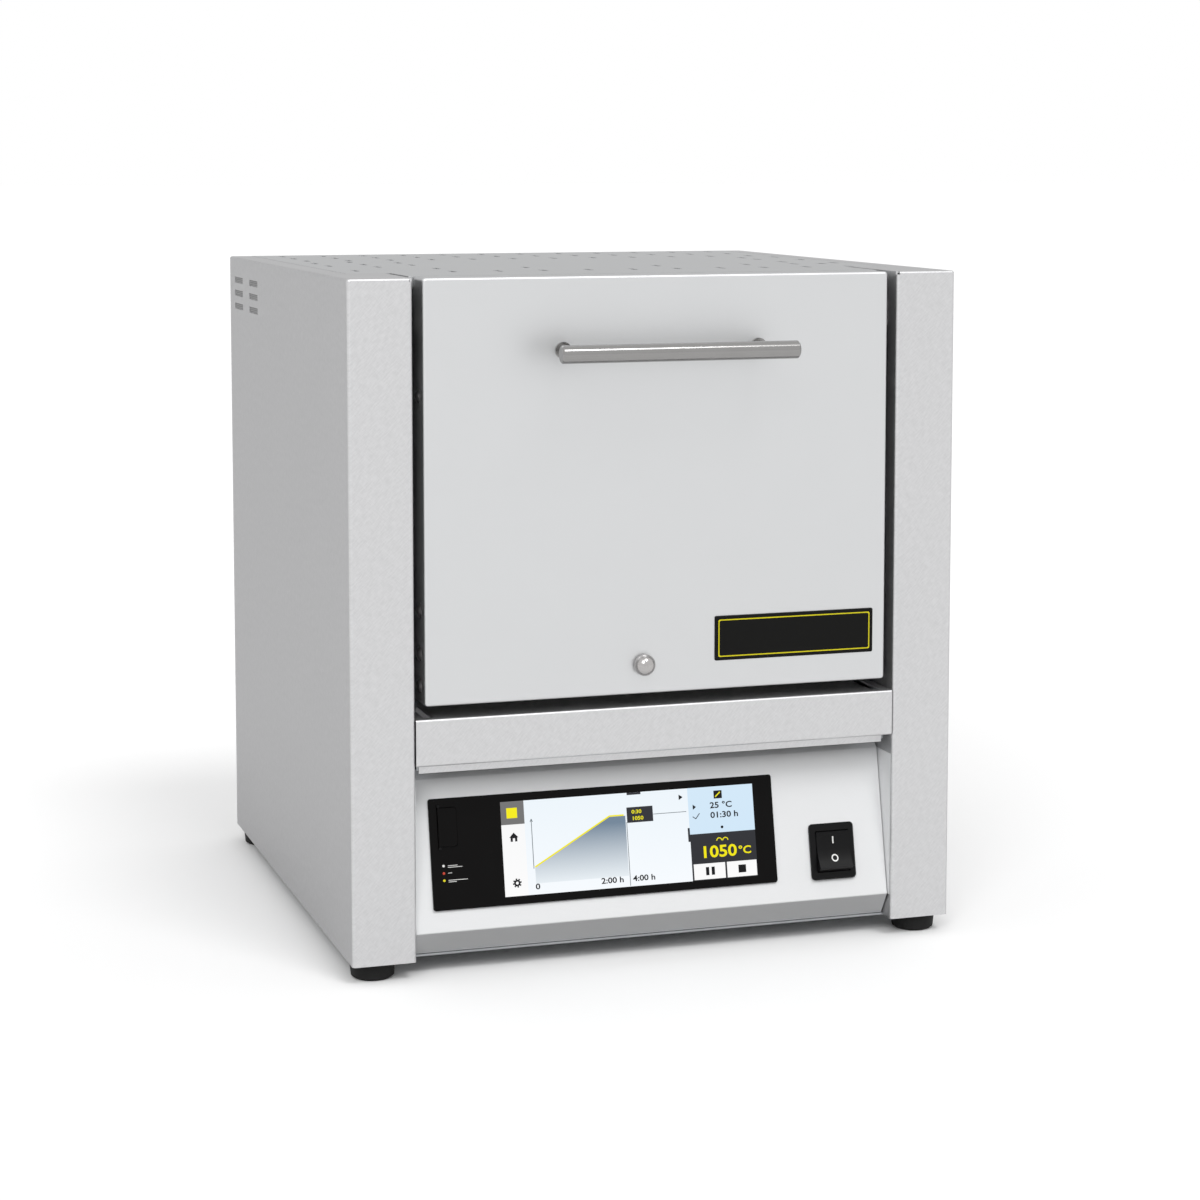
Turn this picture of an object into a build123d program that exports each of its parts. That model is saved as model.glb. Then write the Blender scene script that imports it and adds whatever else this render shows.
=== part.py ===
from build123d import *
from math import asin, atan2, cos, degrees, hypot, radians, sin, sqrt
import os

# Bench muffle furnace with a flap door. All sizes are in millimetres. While the pieces are made,
# y = 0 is the front face of the housing and z = 0 its lower edge; they move to their frame at the end.

# Housing
housing_width = 385.0
housing_depth = 377.0
housing_height = 408.0
foot_height = 11.0
sheet = 1.2
bend = 2.0
post_width = 39.0
post_return = 38.0
post_cap = 70.0
lip = 15.0
joint_gap = 0.5
rest_gap = 0.3
fold_gap = 0.1

# Sill, fascia and decks
sill_top = 146.5
sill_height = 28.5
sill_depth = 64.0
sill_return = 8.0
fascia_top_y = 22.5
fascia_top_z = 105.5
fascia_crease_y = 3.8
fascia_crease_z = 15.7
strip_depth = 8.5
fascia_flange = 16.0
pan_front = 12.0
flange = 12.0

# Hinge
pivot_y = 18.0
pivot_drop = 21.5
swing_gap = 1.0
hub_radius = 7.5
hub_gap = 0.8
pin_radius = 3.0
run_gap = 0.05
arm_thickness = 4.0
arm_inner = 31.5
arm_outer = 40.0
arm_bar_angle = 15.0
arm_bar_width = 9.0
slot_gap = 0.8
bracket_sheet = 2.5
bracket_gap = 1.9

# Door
door_side_gap = 6.0
door_flange = 32.0
door_top_flange = 22.0
door_bottom_flange = 20.0
cover_gap = 2.0
screw_depth = 12.0
arm_screw_heights = (11.0, 30.0, 56.0)
tray_screw_drop = 70.0
handle_length = 148.0
handle_radius = 5.4
handle_out = 36.0
handle_drop = 44.0
standoff_radius = 3.5
standoff_inset = 12.0
knob_radius = 6.5
knob_height = 7.7
knob_skirt = 3.0
knob_x = -11.0
knob_rise = 18.0
rod_radius = 2.5

# Chamber and insulation: the housing, air spaces and boards leave the chamber its size
side_space = 40.7
roof_space = 17.2
rear_space = 47.2
chamber_floor = 200.0
collar_front = 62.0
collar_depth = 38.0
heater_thickness = 12.0
hearth_thickness = 8.0
side_board = 39.8
floor_board = 50.8
roof_board = 58.8
rear_board = 59.8
seal_gap = 0.4
plug_depth = 8.0
plug_gap = 4.0
plug_taper = 2.0
seal_side = 26.0
seal_above = 34.0
seal_below = 40.0
boss_margin = 2.0
air_hole = 5.0
air_rise = 44.0

# Exhaust, probe and terminals
liner_bore = 11.0
liner_wall = 4.0
spigot_bore = 16.0
spigot_wall = 1.2
spigot_out = 12.0
spigot_flange = 28.0
exhaust_drop = 32.0
probe_radius = 3.5
probe_reach = 30.0
probe_x = -45.0
terminal_radius = 2.0
terminal_inset = 22.0

# Control panel, along x and up the slope from the crease
glass_inset = 11.0
glass_to_switch = 37.9
glass_low = 13.0
glass_high = 79.7
glass_thickness = 1.2
glass_border = 4.0
module_depth = 14.0
controller_depth = 30.0
usb_inset = 11.0
usb_v = 62.4
usb_flap_width = 12.0
usb_flap_height = 23.7
usb_flap_thickness = 1.5
switch_inset = 35.4
switch_v = 29.4
switch_width = 29.6
switch_height = 34.8
switch_rim = 2.5
rocker_width = 22.0
rocker_reach = 12.7
rocker_angle = 10.0

# Values that follow from the sizes above
half_width = housing_width / 2
post_inner = half_width - post_width
door_half = post_inner - door_side_gap
pivot_z = sill_top - pivot_drop
sill_corner = hypot(pivot_y, pivot_drop)
door_bottom = pivot_z + sill_corner + swing_gap
sill_bottom = sill_top - sill_height
deck_top = pivot_z - hub_radius - hub_gap - bracket_sheet
deck_front = fascia_top_y + strip_depth
fascia_half = post_inner - 2 * joint_gap
switch_x = fascia_half - switch_inset
glass_left = -fascia_half + glass_inset
glass_right = switch_x - glass_to_switch
usb_x = glass_left + usb_inset
arm_face = door_half - sheet
arm_back = arm_face - arm_thickness
casing_half = half_width - side_space
casing_high = housing_height - roof_space
casing_back = housing_depth - rear_space
chamber_half = casing_half - side_board - heater_thickness
chamber_roof = casing_high - roof_board
chamber_front = collar_front + collar_depth
chamber_back = casing_back - rear_board
hearth_under = chamber_floor - hearth_thickness
casing_low = hearth_under - floor_board
frame_front = sill_depth
frame_back = frame_front + sheet
boss_half = chamber_half + seal_side + boss_margin
boss_low = chamber_floor - seal_below - boss_margin
boss_high = chamber_roof + seal_above + boss_margin
tray_back = door_flange
tray_front = tray_back - sheet
knob_z = door_bottom + knob_rise
handle_z = housing_height - handle_drop
exhaust_z = chamber_roof - exhaust_drop
probe_z = (chamber_floor + chamber_roof) / 2
tray_screw_z = housing_height - tray_screw_drop
rear_face = housing_depth + sheet
spigot_end = rear_face + spigot_out
cover_front = door_top_flange + cover_gap
front_most = -(handle_out + handle_radius)
frame_shift = -(front_most + spigot_end) / 2

# Plane of the control fascia: x across, y up the slope, z out of the face
fascia_rise = Vector(0, fascia_top_y - fascia_crease_y, fascia_top_z - fascia_crease_z).normalized()
fascia_plane = Plane(
    origin=(0, fascia_crease_y, fascia_crease_z),
    x_dir=(1, 0, 0),
    z_dir=(0, -fascia_rise.Z, fascia_rise.Y),
)


# Small tools for the shapes below
def block(x0, x1, y0, y1, z0, z1):
    centre = Pos((x0 + x1) / 2, (y0 + y1) / 2, (z0 + z1) / 2)
    return centre * Box(abs(x1 - x0), abs(y1 - y0), abs(z1 - z0))


def round_x(y, z, radius, x0, x1):
    return Pos((x0 + x1) / 2, y, z) * Rot(0, 90, 0) * Cylinder(radius, abs(x1 - x0))


def round_y(x, z, radius, y0, y1):
    return Pos(x, (y0 + y1) / 2, z) * Rot(90, 0, 0) * Cylinder(radius, abs(y1 - y0))


def round_z(x, y, radius, z0, z1):
    return Pos(x, y, (z0 + z1) / 2) * Cylinder(radius, abs(z1 - z0))


def ring_y(x, z, radius, bore, y0, y1):
    return round_y(x, z, radius, y0, y1) - round_y(x, z, bore, y0, y1)


def along_x(points, x0, x1):
    face = make_face(Polyline(*points, close=True))
    return extrude(Plane.YZ.offset(min(x0, x1)) * face, amount=abs(x1 - x0))


def folded(points, radius, side):
    line = FilletPolyline(*points, radius=radius)
    return make_face(offset(line, amount=sheet, side=side))


def mirrored(solid):
    return mirror(solid, about=Plane.YZ)


def on_fascia(x0, x1, v0, v1, n0, n1):
    return fascia_plane.location * block(x0, x1, v0, v1, n0, n1)


def slot_up(x, y, length, width, low, high):
    outline = Pos(x, y) * Rot(0, 0, 90) * SlotOverall(length, width)
    return extrude(Plane.XY.offset(low) * outline, amount=high - low)


def spread(first, last, count):
    return [first + (last - first) * step / (count - 1) for step in range(count)]


def dome(radius, low, rise):
    arc_radius = (radius ** 2 + rise ** 2) / (2 * rise)
    return RadiusArc((radius, low), (0, low + rise), -arc_radius)


def dome_screw(head_radius, head_height, shank_radius, shank):
    outline = make_face([
        Polyline((0, head_height), (0, -shank), (shank_radius, -shank), (shank_radius, 0), (head_radius, 0)),
        dome(head_radius, 0, head_height),
    ])
    return revolve(Plane.XZ * outline, Axis.Z)


# Housing panels
vent_length = 30.0
vent_height = 4.0
vent_pitch = 9.1
vent_insets = (87.5, 34.0)
vent_top = housing_height - 15.5
vent_rows = 3
screw_head = 4.6
screw_head_height = 2.2
screw_shank = 2.0
screw_gap = 0.1
rear_screw_heights = spread(24, housing_height - 24, 4)
relief = 2.0


def rounded_envelope():
    solid = block(-half_width, 0, 0, housing_depth, 0, housing_height)
    solid = fillet(solid.edges().filter_by(Axis.Z).sort_by(Axis.X)[:2], bend)
    rim = solid.faces().sort_by(Axis.Z)[-1].edges()
    rim = rim.filter_by(lambda edge: edge.center().X < -bend and edge.center().Y < housing_depth - bend)
    return fillet(rim.filter_by(lambda edge: edge.center().Y < housing_depth - 2 * bend), bend - 0.5)


def rows_down(top, count):
    return [top - row * vent_pitch for row in range(count)]


def side_panel_left():
    path = [
        (-post_inner, post_return),
        (-post_inner, 0),
        (-half_width, 0),
        (-half_width, housing_depth),
        (-half_width + lip, housing_depth),
    ]
    walls = extrude(folded(path, bend, Side.RIGHT), amount=housing_height)
    cap = block(-half_width, -post_inner, 0, post_cap, housing_height - sheet, housing_height)
    ledge = block(-half_width, -half_width + lip, 0, housing_depth, housing_height - sheet, housing_height)
    panel = (walls + cap + ledge) & rounded_envelope()
    slots = [
        block(-half_width - 1, -half_width + 2 * sheet, column - vent_length / 2, column + vent_length / 2,
              height - vent_height / 2, height + vent_height / 2)
        for column in [housing_depth - inset for inset in vent_insets]
        for height in rows_down(vent_top, vent_rows)
    ]
    holes = [
        round_y(-half_width + lip / 2, height, screw_shank + screw_gap, housing_depth - 2 * sheet, rear_face)
        for height in rear_screw_heights
    ]
    notch = block(-post_inner - relief, -post_inner + 1, -1, relief,
                  housing_height - relief, housing_height + 1)
    return panel - slots - holes - notch


cover_slot = 16.0
cover_slot_width = 3.4
cover_half = half_width - lip - joint_gap
tongue_half = post_inner - 3.5


# Slot places as shares of the cover's half width and of its depth behind the post caps
slot_rows = [
    (0.04, spread(-0.61, 0.88, 10)),
    (0.19, (-0.60, -0.27, 0.23, 0.58, 0.77, 0.88)),
    (0.66, spread(-0.90, 0.90, 12)),
    (0.80, spread(-0.90, 0.90, 12)),
    (0.93, spread(-0.90, 0.90, 12)),
]
slot_columns = [
    (-0.92, (0.13, 0.38, 0.52)),
    (-0.77, (0.30, 0.43, 0.57)),
    (-0.61, (0.38, 0.50)),
    (0.80, (0.30, 0.46, 0.55)),
    (0.95, (0.22, 0.41, 0.57)),
]


def cover_slots():
    shares = [(across, back) for back, row in slot_rows for across in row]
    shares += [(across, back) for across, column in slot_columns for back in column]
    return [(across * cover_half, post_cap + back * (housing_depth - post_cap)) for across, back in shares]


def top_cover():
    outline = [
        (-tongue_half, cover_front),
        (tongue_half, cover_front),
        (tongue_half, post_cap + joint_gap),
        (cover_half, post_cap + joint_gap),
        (cover_half, housing_depth),
        (-cover_half, housing_depth),
        (-cover_half, post_cap + joint_gap),
        (-tongue_half, post_cap + joint_gap),
    ]
    low = housing_height - sheet
    plate = extrude(Plane.XY.offset(low) * make_face(Polyline(*outline, close=True)), amount=sheet)
    front_flange = block(-tongue_half, tongue_half, cover_front, cover_front + sheet,
                         housing_height - flange / 2, low)
    slots = [
        slot_up(x, y, cover_slot, cover_slot_width, low - 1, housing_height + 1)
        for x, y in cover_slots()
    ]
    return plate + front_flange - slots


rail_foot = 20.0
rail_leg = 20.0


def top_rails():
    high = housing_height - sheet
    wall = half_width - sheet
    points = [(-wall, high - rail_leg), (-wall, high), (-wall + rail_foot, high)]
    section = folded(points, bend, Side.RIGHT)
    rail = extrude(Plane(origin=(0, post_cap + joint_gap, 0), x_dir=(1, 0, 0), z_dir=(0, -1, 0)) * section,
                   amount=-(housing_depth - 2 * sheet - post_cap - joint_gap))
    return [rail, mirrored(rail)]


inlet_x = -half_width + 64.5
inlet_z = 60.0
inlet_width = 27.2
inlet_height = 19.8
rear_column_inset = 82.5
rear_column_pitch = 40.0
rear_vent_drop = 22.0
low_vent_top = 90.0
rear_slot_rows = 5
flange_screw_circle = 22.5
flange_screw_radius = 1.5


def rear_vent(x, z):
    return block(x - vent_length / 2, x + vent_length / 2, housing_depth - 1, rear_face + 1,
                 z - vent_height / 2, z + vent_height / 2)


def flange_screw_spots():
    angles = [radians(45 + 90 * step) for step in range(4)]
    return [(flange_screw_circle * cos(a), exhaust_z + flange_screw_circle * sin(a)) for a in angles]


def rear_panel():
    plate = block(-half_width + joint_gap, half_width - joint_gap, housing_depth, rear_face,
                  2 * sheet, housing_height - sheet)
    rest = block(-cover_half + rail_foot, cover_half - rail_foot, housing_depth - lip, housing_depth,
                 housing_height - 2 * sheet, housing_height - sheet)
    outer = half_width - rear_column_inset
    upper = [side * (outer - step * rear_column_pitch) for side in (-1, 1) for step in range(2)]
    lower = [outer - step * rear_column_pitch for step in range(4)]
    vents = [rear_vent(x, z) for x in upper for z in rows_down(vent_top - rear_vent_drop, rear_slot_rows)]
    vents += [rear_vent(x, z) for x in lower for z in rows_down(low_vent_top, rear_slot_rows)]
    exhaust = round_y(0, exhaust_z, spigot_bore + spigot_wall + rest_gap, housing_depth - 1, rear_face + 1)
    inlet = block(inlet_x - inlet_width / 2, inlet_x + inlet_width / 2, housing_depth - 1, rear_face + 1,
                  inlet_z - inlet_height / 2, inlet_z + inlet_height / 2)
    holes = [
        round_y(side * (half_width - lip / 2), height, screw_shank + screw_gap,
                housing_depth - 1, rear_face + 1)
        for side in (-1, 1) for height in rear_screw_heights
    ]
    holes += [
        round_y(x, z, flange_screw_radius + screw_gap, housing_depth - 1, rear_face + 1)
        for x, z in flange_screw_spots()
    ]
    return plate + rest - vents - exhaust - inlet - holes


def rear_screws():
    screw = Rot(-90, 0, 0) * dome_screw(screw_head, screw_head_height, screw_shank, 2 * sheet)
    small = dome_screw(2 * flange_screw_radius, screw_head_height, flange_screw_radius, 2 * sheet)
    screws = [
        Pos(side * (half_width - lip / 2), rear_face, height) * screw
        for side in (-1, 1) for height in rear_screw_heights
    ]
    return screws + [Pos(x, rear_face + sheet, z) * Rot(-90, 0, 0) * small for x, z in flange_screw_spots()]


foot_radius = 14.0
foot_toe = 12.5
foot_inset = 16.0
foot_front = 18.0
foot_recess = 5.0
foot_bore = 2.6


def foot_places():
    x = half_width - foot_inset
    return [(side * x, y) for side in (-1, 1) for y in (foot_front, housing_depth - foot_front)]


def rubber_feet():
    outline = [
        (foot_bore, 0),
        (foot_radius, 0),
        (foot_toe + 0.5, -foot_height + 1.5),
        (foot_toe - 1.5, -foot_height),
        (foot_recess, -foot_height),
        (foot_recess, -foot_height / 2),
        (foot_bore, -foot_height / 2),
    ]
    foot = revolve(Plane.XZ * make_face(Polyline(*outline, close=True)), Axis.Z)
    return [Pos(x, y, 0) * foot for x, y in foot_places()]


def foot_screws():
    screw = Pos(0, 0, -foot_height / 2) * Rot(180, 0, 0) * dome_screw(4.4, 2.4, foot_bore - screw_gap,
                                                                   foot_height / 2 + 3 * sheet)
    return [Pos(x, y, 0) * screw for x, y in foot_places()]


pan_slot = 30.0
pan_slot_inset = 72.5
pan_slot_rows = (127.0, 257.0)


def base_pan():
    wall = half_width - sheet
    back = housing_depth - 2 * sheet
    floor = block(-wall, wall, pan_front, back, 0, sheet)
    toes = block(-wall, wall, 2 * sheet, pan_front, 0, sheet)
    toes -= block(-post_inner, post_inner, 0, pan_front, -1, flange)
    sides = block(-wall, -wall + sheet, 2 * sheet, back, 0, flange)
    rear = block(-wall, wall, back - sheet, back, 0, flange)
    pan = floor + toes + sides + mirrored(sides) + rear
    cut = block(-post_inner - sheet - fold_gap, -post_inner + fold_gap, -1, post_return + joint_gap,
                -1, flange)
    columns = spread(-half_width + pan_slot_inset, half_width - pan_slot_inset, 9)
    air = [
        slot_up(x, housing_depth - inset, pan_slot, vent_height, -1, 2 * sheet)
        for x in columns for inset in pan_slot_rows
    ]
    holes = [round_z(x, y, foot_bore, -1, 2 * sheet) for x, y in foot_places()]
    return pan - cut - mirrored(cut) - air - holes


cable_hole_x = 60.0
cable_hole_inset = 27.0
cable_hole_radius = 9.0


def mid_deck():
    wall = half_width - sheet
    back = housing_depth - 2 * sheet
    nose_back = post_return + joint_gap
    nose_half = post_inner - fold_gap
    plate = block(-wall, wall, nose_back, back, deck_top - sheet, deck_top)
    nose = block(-nose_half, nose_half, deck_front, nose_back, deck_top - sheet, deck_top)
    side = block(-wall, -wall + sheet, nose_back, back, deck_top - flange, deck_top - sheet)
    cable_holes = [
        round_z(x, housing_depth - cable_hole_inset, cable_hole_radius, deck_top - 2 * sheet, deck_top + 1)
        for x in (-cable_hole_x, cable_hole_x)
    ]
    return plate + nose + side + mirrored(side) - cable_holes


# Sill with the slots that let the hinge arms through
slot_front = 5.0
slot_back_gap = 1.8


def sill_slot():
    back = pivot_y + sqrt(arm_outer ** 2 - pivot_drop ** 2) + slot_back_gap
    return block(arm_back - slot_gap, arm_face + slot_gap, slot_front, back,
                 sill_top - 2 * sheet, sill_top + 1)


def sill_ledge():
    half = post_inner - joint_gap
    path = [
        (sill_return, sill_bottom),
        (0, sill_bottom),
        (0, sill_top),
        (sill_depth, sill_top),
        (sill_depth, deck_top),
    ]
    body = extrude(Plane.YZ.offset(-half) * folded(path, bend - 0.4, Side.RIGHT), amount=2 * half)
    return body - sill_slot() - mirrored(sill_slot())


# Control fascia
switch_wall = 2.0
well_depth = 8.0
axle_seat = 1.5
blade = 0.8
blade_width = 6.0
blade_length = 8.0


def around_rocker(extra, n0, n1):
    side = rocker_width / 2 + extra
    reach = rocker_reach + extra
    return on_fascia(switch_x - side, switch_x + side, switch_v - reach, switch_v + reach, n0, n1)


def control_fascia():
    path = [
        (deck_front + fascia_flange, deck_top - sheet),
        (deck_front, deck_top - sheet),
        (fascia_top_y, fascia_top_z),
        (fascia_crease_y, fascia_crease_z),
        (pan_front + 1, sheet),
        (pan_front + 1 + fascia_flange, sheet),
    ]
    section = folded(path, sheet + 0.2, Side.LEFT)
    body = extrude(Plane.YZ.offset(-fascia_half) * section, amount=2 * fascia_half)
    window = on_fascia(glass_left + glass_border - rest_gap, glass_right - glass_border + rest_gap,
                       glass_low + glass_border - rest_gap, glass_high - glass_border + rest_gap, -5, 5)
    return body - window - around_rocker(switch_wall + rest_gap, -5, 5)


usb_slot_width = 5.6
usb_slot_height = 13.4


def usb_cut(extra, n0, n1):
    return on_fascia(usb_x - usb_slot_width / 2 - extra, usb_x + usb_slot_width / 2 + extra,
                     usb_v - usb_slot_height / 2 - extra, usb_v + usb_slot_height / 2 + extra, n0, n1)


def display_glass():
    plate = on_fascia(glass_left, glass_right, glass_low, glass_high, 0, glass_thickness)
    corners = plate.edges().filter_by(lambda edge: abs(edge.length - glass_thickness) < 0.01)
    return fillet(corners, 1.5) - usb_cut(0, -1, 3)


def display_module():
    body = on_fascia(glass_left + glass_border, glass_right - glass_border,
                     glass_low + glass_border, glass_high - glass_border, -module_depth, 0)
    return body - usb_cut(0.1, -module_depth - 1, 1)


rib_count = 12
rib_inset = 30.0
rib_height = 5.0


def controller_housing():
    back = -module_depth - controller_depth
    body = on_fascia(glass_left + 2 * glass_border, glass_right - 2 * glass_border,
                     glass_low + 2 * glass_border, glass_high - 2 * glass_border, back, -module_depth)
    grooves = [
        on_fascia(x - 1, x + 1, glass_low + 3 * glass_border, glass_high - 3 * glass_border,
                  back - 1, back + rib_height - 1)
        for x in spread(glass_left + rib_inset, glass_right - rib_inset, rib_count)
    ]
    return body - grooves


usb_tongue = 2.0
usb_tongue_length = 11.0


def usb_socket():
    shell = usb_cut(0, -module_depth, 0)
    mouth = usb_cut(-0.5, -module_depth + 1, 1)
    tongue_left = usb_x - 0.8 * usb_tongue
    tongue = on_fascia(tongue_left, tongue_left + usb_tongue, usb_v - usb_tongue_length / 2,
                       usb_v + usb_tongue_length / 2, -module_depth + 1, -2)
    return shell - mouth + tongue


flap_barrel = 0.75
flap_pin = 0.35
flap_lift = 0.05
flap_left = usb_x - usb_flap_width / 2
flap_axis_x = flap_left + flap_barrel
flap_axis_n = glass_thickness + flap_lift + flap_barrel
lug = 1.2


def along_slope(x, n, radius, v0, v1):
    return fascia_plane.location * Pos(x, (v0 + v1) / 2, n) * Rot(90, 0, 0) * Cylinder(radius, v1 - v0)


def usb_flap():
    low = usb_v - usb_flap_height / 2
    high = usb_v + usb_flap_height / 2
    plate = block(flap_axis_x, flap_left + usb_flap_width, low, high,
                  glass_thickness + flap_lift, glass_thickness + flap_lift + usb_flap_thickness)
    plate = fillet(plate.edges().filter_by(Axis.Z).sort_by(Axis.X)[2:], 2.0)
    plate = chamfer(plate.faces().sort_by(Axis.Z)[-1].edges().filter_by(Axis.Y).sort_by(Axis.X)[-1], 0.5)
    barrel = along_slope(flap_axis_x, flap_axis_n, flap_barrel, low, high)
    bore = along_slope(flap_axis_x, flap_axis_n, flap_pin + run_gap, low - 1, high + 1)
    return fascia_plane.location * plate + barrel - bore


def usb_hinge():
    low = usb_v - usb_flap_height / 2 - run_gap * 4
    high = usb_v + usb_flap_height / 2 + run_gap * 4
    pin = along_slope(flap_axis_x, flap_axis_n, flap_pin, low - lug, high + lug)
    lugs = [
        on_fascia(flap_axis_x - flap_barrel, flap_axis_x + flap_barrel, v0, v0 + lug,
                  glass_thickness, flap_axis_n + flap_barrel)
        for v0 in (low - lug, high)
    ]
    return pin + lugs


# Rocker switch
rocker_play = 0.2
trunnion = 1.2
switch_depth = 24.0


def switch_housing():
    rim = on_fascia(switch_x - switch_width / 2, switch_x + switch_width / 2,
                    switch_v - switch_height / 2, switch_v + switch_height / 2, 0, switch_rim)
    rim = fillet(rim.edges().filter_by(lambda edge: abs(edge.length - switch_rim) < 0.01), 2.5)
    front = rim.faces().sort_by_distance(fascia_plane.location.position + fascia_plane.z_dir * 1000)[0]
    rim = chamfer(front.edges(), 0.8)
    body = around_rocker(switch_wall, -switch_depth, 0)
    well = around_rocker(rocker_play, -well_depth, 5)
    seat = rocker_width / 2 + axle_seat
    axle = fascia_plane.location * round_x(switch_v, 0, trunnion + run_gap, switch_x - seat, switch_x + seat)
    blades = [
        on_fascia(x - blade / 2, x + blade / 2, v - blade_width / 2, v + blade_width / 2,
                  -switch_depth - blade_length, -switch_depth)
        for x in (switch_x - 6, switch_x + 6) for v in (switch_v - 7, switch_v + 7)
    ]
    return rim + body - well - axle + blades


rocker_end = 5.8
rocker_middle = 3.6
rocker_swell = 0.6
rocker_under = -5.0


def switch_rocker():
    end_top = sqrt(rocker_reach ** 2 - rocker_end ** 2)
    end_low = sqrt(rocker_reach ** 2 - rocker_under ** 2)
    saddle = rocker_middle + rocker_swell
    outline = make_face([
        Line((-end_low, rocker_under), (end_low, rocker_under)),
        ThreePointArc((end_low, rocker_under), (rocker_reach, 0), (end_top, rocker_end)),
        ThreePointArc((end_top, rocker_end), (end_top / 2, saddle), (0, rocker_middle)),
        ThreePointArc((0, rocker_middle), (-end_top / 2, saddle), (-end_top, rocker_end)),
        ThreePointArc((-end_top, rocker_end), (-rocker_reach, 0), (-end_low, rocker_under)),
    ])
    body = extrude(Plane.YZ.offset(-rocker_width / 2) * outline, amount=rocker_width)
    axle_half = rocker_width / 2 + axle_seat - rocker_play
    axle = round_x(0, 0, trunnion, -axle_half, axle_half)
    return fascia_plane.location * Pos(switch_x, switch_v, 0) * Rot(-rocker_angle, 0, 0) * (body + axle)


# Chamber: casing, insulation boards, hearth and heating plates
def terminal_places():
    x = chamber_half + heater_thickness / 2
    return [(side * x, z) for side in (-1, 1)
            for z in (chamber_floor + terminal_inset, chamber_roof - terminal_inset)]


def rear_bores(clearance):
    y0 = chamber_back - 1
    y1 = casing_back + 10
    bores = [round_y(0, exhaust_z, liner_bore + liner_wall + clearance, y0, y1),
             round_y(probe_x, probe_z, probe_radius + clearance, y0, y1)]
    bores += [round_y(x, z, 2 * terminal_radius + clearance, y0, y1) for x, z in terminal_places()]
    return bores


wing_low = sill_top + 23.5
wing_high = housing_height - 54.0


def front_frame():
    plate = block(-post_inner, post_inner, frame_front, frame_back, deck_top, housing_height - 2 * sheet)
    wing = block(-post_inner, -post_inner + sheet, cover_front, frame_front, wing_low, wing_high)
    opening = block(-boss_half - rest_gap, boss_half + rest_gap, frame_front - 1, frame_back + 1,
                    boss_low - rest_gap, boss_high + rest_gap)
    return plate + wing + mirrored(wing) - opening


def muffle_casing():
    outer = block(-casing_half - sheet, casing_half + sheet, frame_back, casing_back + sheet,
                  casing_low - sheet, casing_high + sheet)
    inner = block(-casing_half, casing_half, frame_back - 1, casing_back, casing_low, casing_high)
    return outer - inner - rear_bores(0.5)


casing_rail_inset = 35.8
casing_rail_width = 32.0
casing_rail_end = 12.0


def casing_rails():
    x1 = casing_half - casing_rail_inset
    x0 = x1 - casing_rail_width
    high = casing_low - sheet
    rail = block(x0, x1, frame_back + casing_rail_end, casing_back - casing_rail_end, deck_top, high)
    rail -= block(x0 + sheet, x1 + 1, frame_back, casing_back, deck_top + sheet, high - sheet)
    return [rail, mirrored(rail)]


def tapered_hole(y0, y1, extra0, extra1):
    faces = []
    for y, extra in ((y0, extra0), (y1, extra1)):
        plane = Plane(origin=(0, y, (chamber_floor + chamber_roof) / 2), x_dir=(1, 0, 0), z_dir=(0, 1, 0))
        faces.append(plane * Rectangle(2 * (chamber_half + extra), chamber_roof - chamber_floor + 2 * extra))
    return loft(faces)


def collar_brick():
    body = block(-casing_half, casing_half, frame_back, chamber_front, casing_low, casing_high)
    boss = block(-boss_half, boss_half, collar_front, frame_back, boss_low, boss_high)
    throat = block(-chamber_half, chamber_half, collar_front - 1, chamber_front + 1,
                   chamber_floor, chamber_roof)
    flare = tapered_hole(collar_front, collar_front + plug_depth + plug_gap, plug_taper, 0)
    return body + boss - throat - flare


def floor_insulation():
    return block(-casing_half, casing_half, chamber_front, casing_back, casing_low, hearth_under)


def roof_insulation():
    return block(-casing_half, casing_half, chamber_front, casing_back, chamber_roof, casing_high)


def side_insulation_left():
    outer = -casing_half
    inner = -chamber_half - heater_thickness
    return block(outer, inner, chamber_front, casing_back, hearth_under, chamber_roof)


def rear_insulation():
    half = chamber_half + heater_thickness
    board = block(-half, half, chamber_back, casing_back, hearth_under, chamber_roof)
    return board - rear_bores(screw_gap)


def hearth_plate():
    plate = block(-chamber_half + rest_gap, chamber_half - rest_gap, chamber_front + rest_gap,
                  chamber_back - rest_gap, hearth_under, chamber_floor)
    return chamfer(plate.faces().sort_by(Axis.Z)[-1].edges(), 1.0)


groove_pitch = 13.5
groove_inset = 12.0
groove_depth = 2.5
groove_height = 6.0


def heating_plate_left():
    inner = -chamber_half
    plate = block(inner - heater_thickness, inner, chamber_front + rest_gap, chamber_back,
                  hearth_under, chamber_roof - rest_gap)
    low = chamber_floor + groove_inset
    high = chamber_roof - groove_inset
    grooves = [
        block(inner - groove_depth, inner + 1, chamber_front + groove_height, chamber_back - groove_height,
              z - groove_height / 2, z + groove_height / 2)
        for z in spread(low, high, round((high - low) / groove_pitch) + 1)
    ]
    return plate - grooves


sleeve_reach = 12.0
terminal_reach = 24.0


def heater_terminals():
    end = casing_back + terminal_reach
    return [round_y(x, z, terminal_radius, chamber_back, end) for x, z in terminal_places()]


def terminal_sleeves():
    bore = terminal_radius + screw_gap
    end = casing_back + sleeve_reach
    return [ring_y(x, z, 2 * terminal_radius, bore, chamber_back, end) for x, z in terminal_places()]


head_gap = 16.0
head_width = 22.0
head_height = 16.0
head_depth = 14.0
head_collar = 8.0


def thermocouple_sheath():
    tube = round_y(probe_x, probe_z, probe_radius, chamber_back - probe_reach, casing_back + head_gap)
    return fillet(tube.edges().sort_by(Axis.Y)[0], probe_radius - 0.5)


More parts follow.
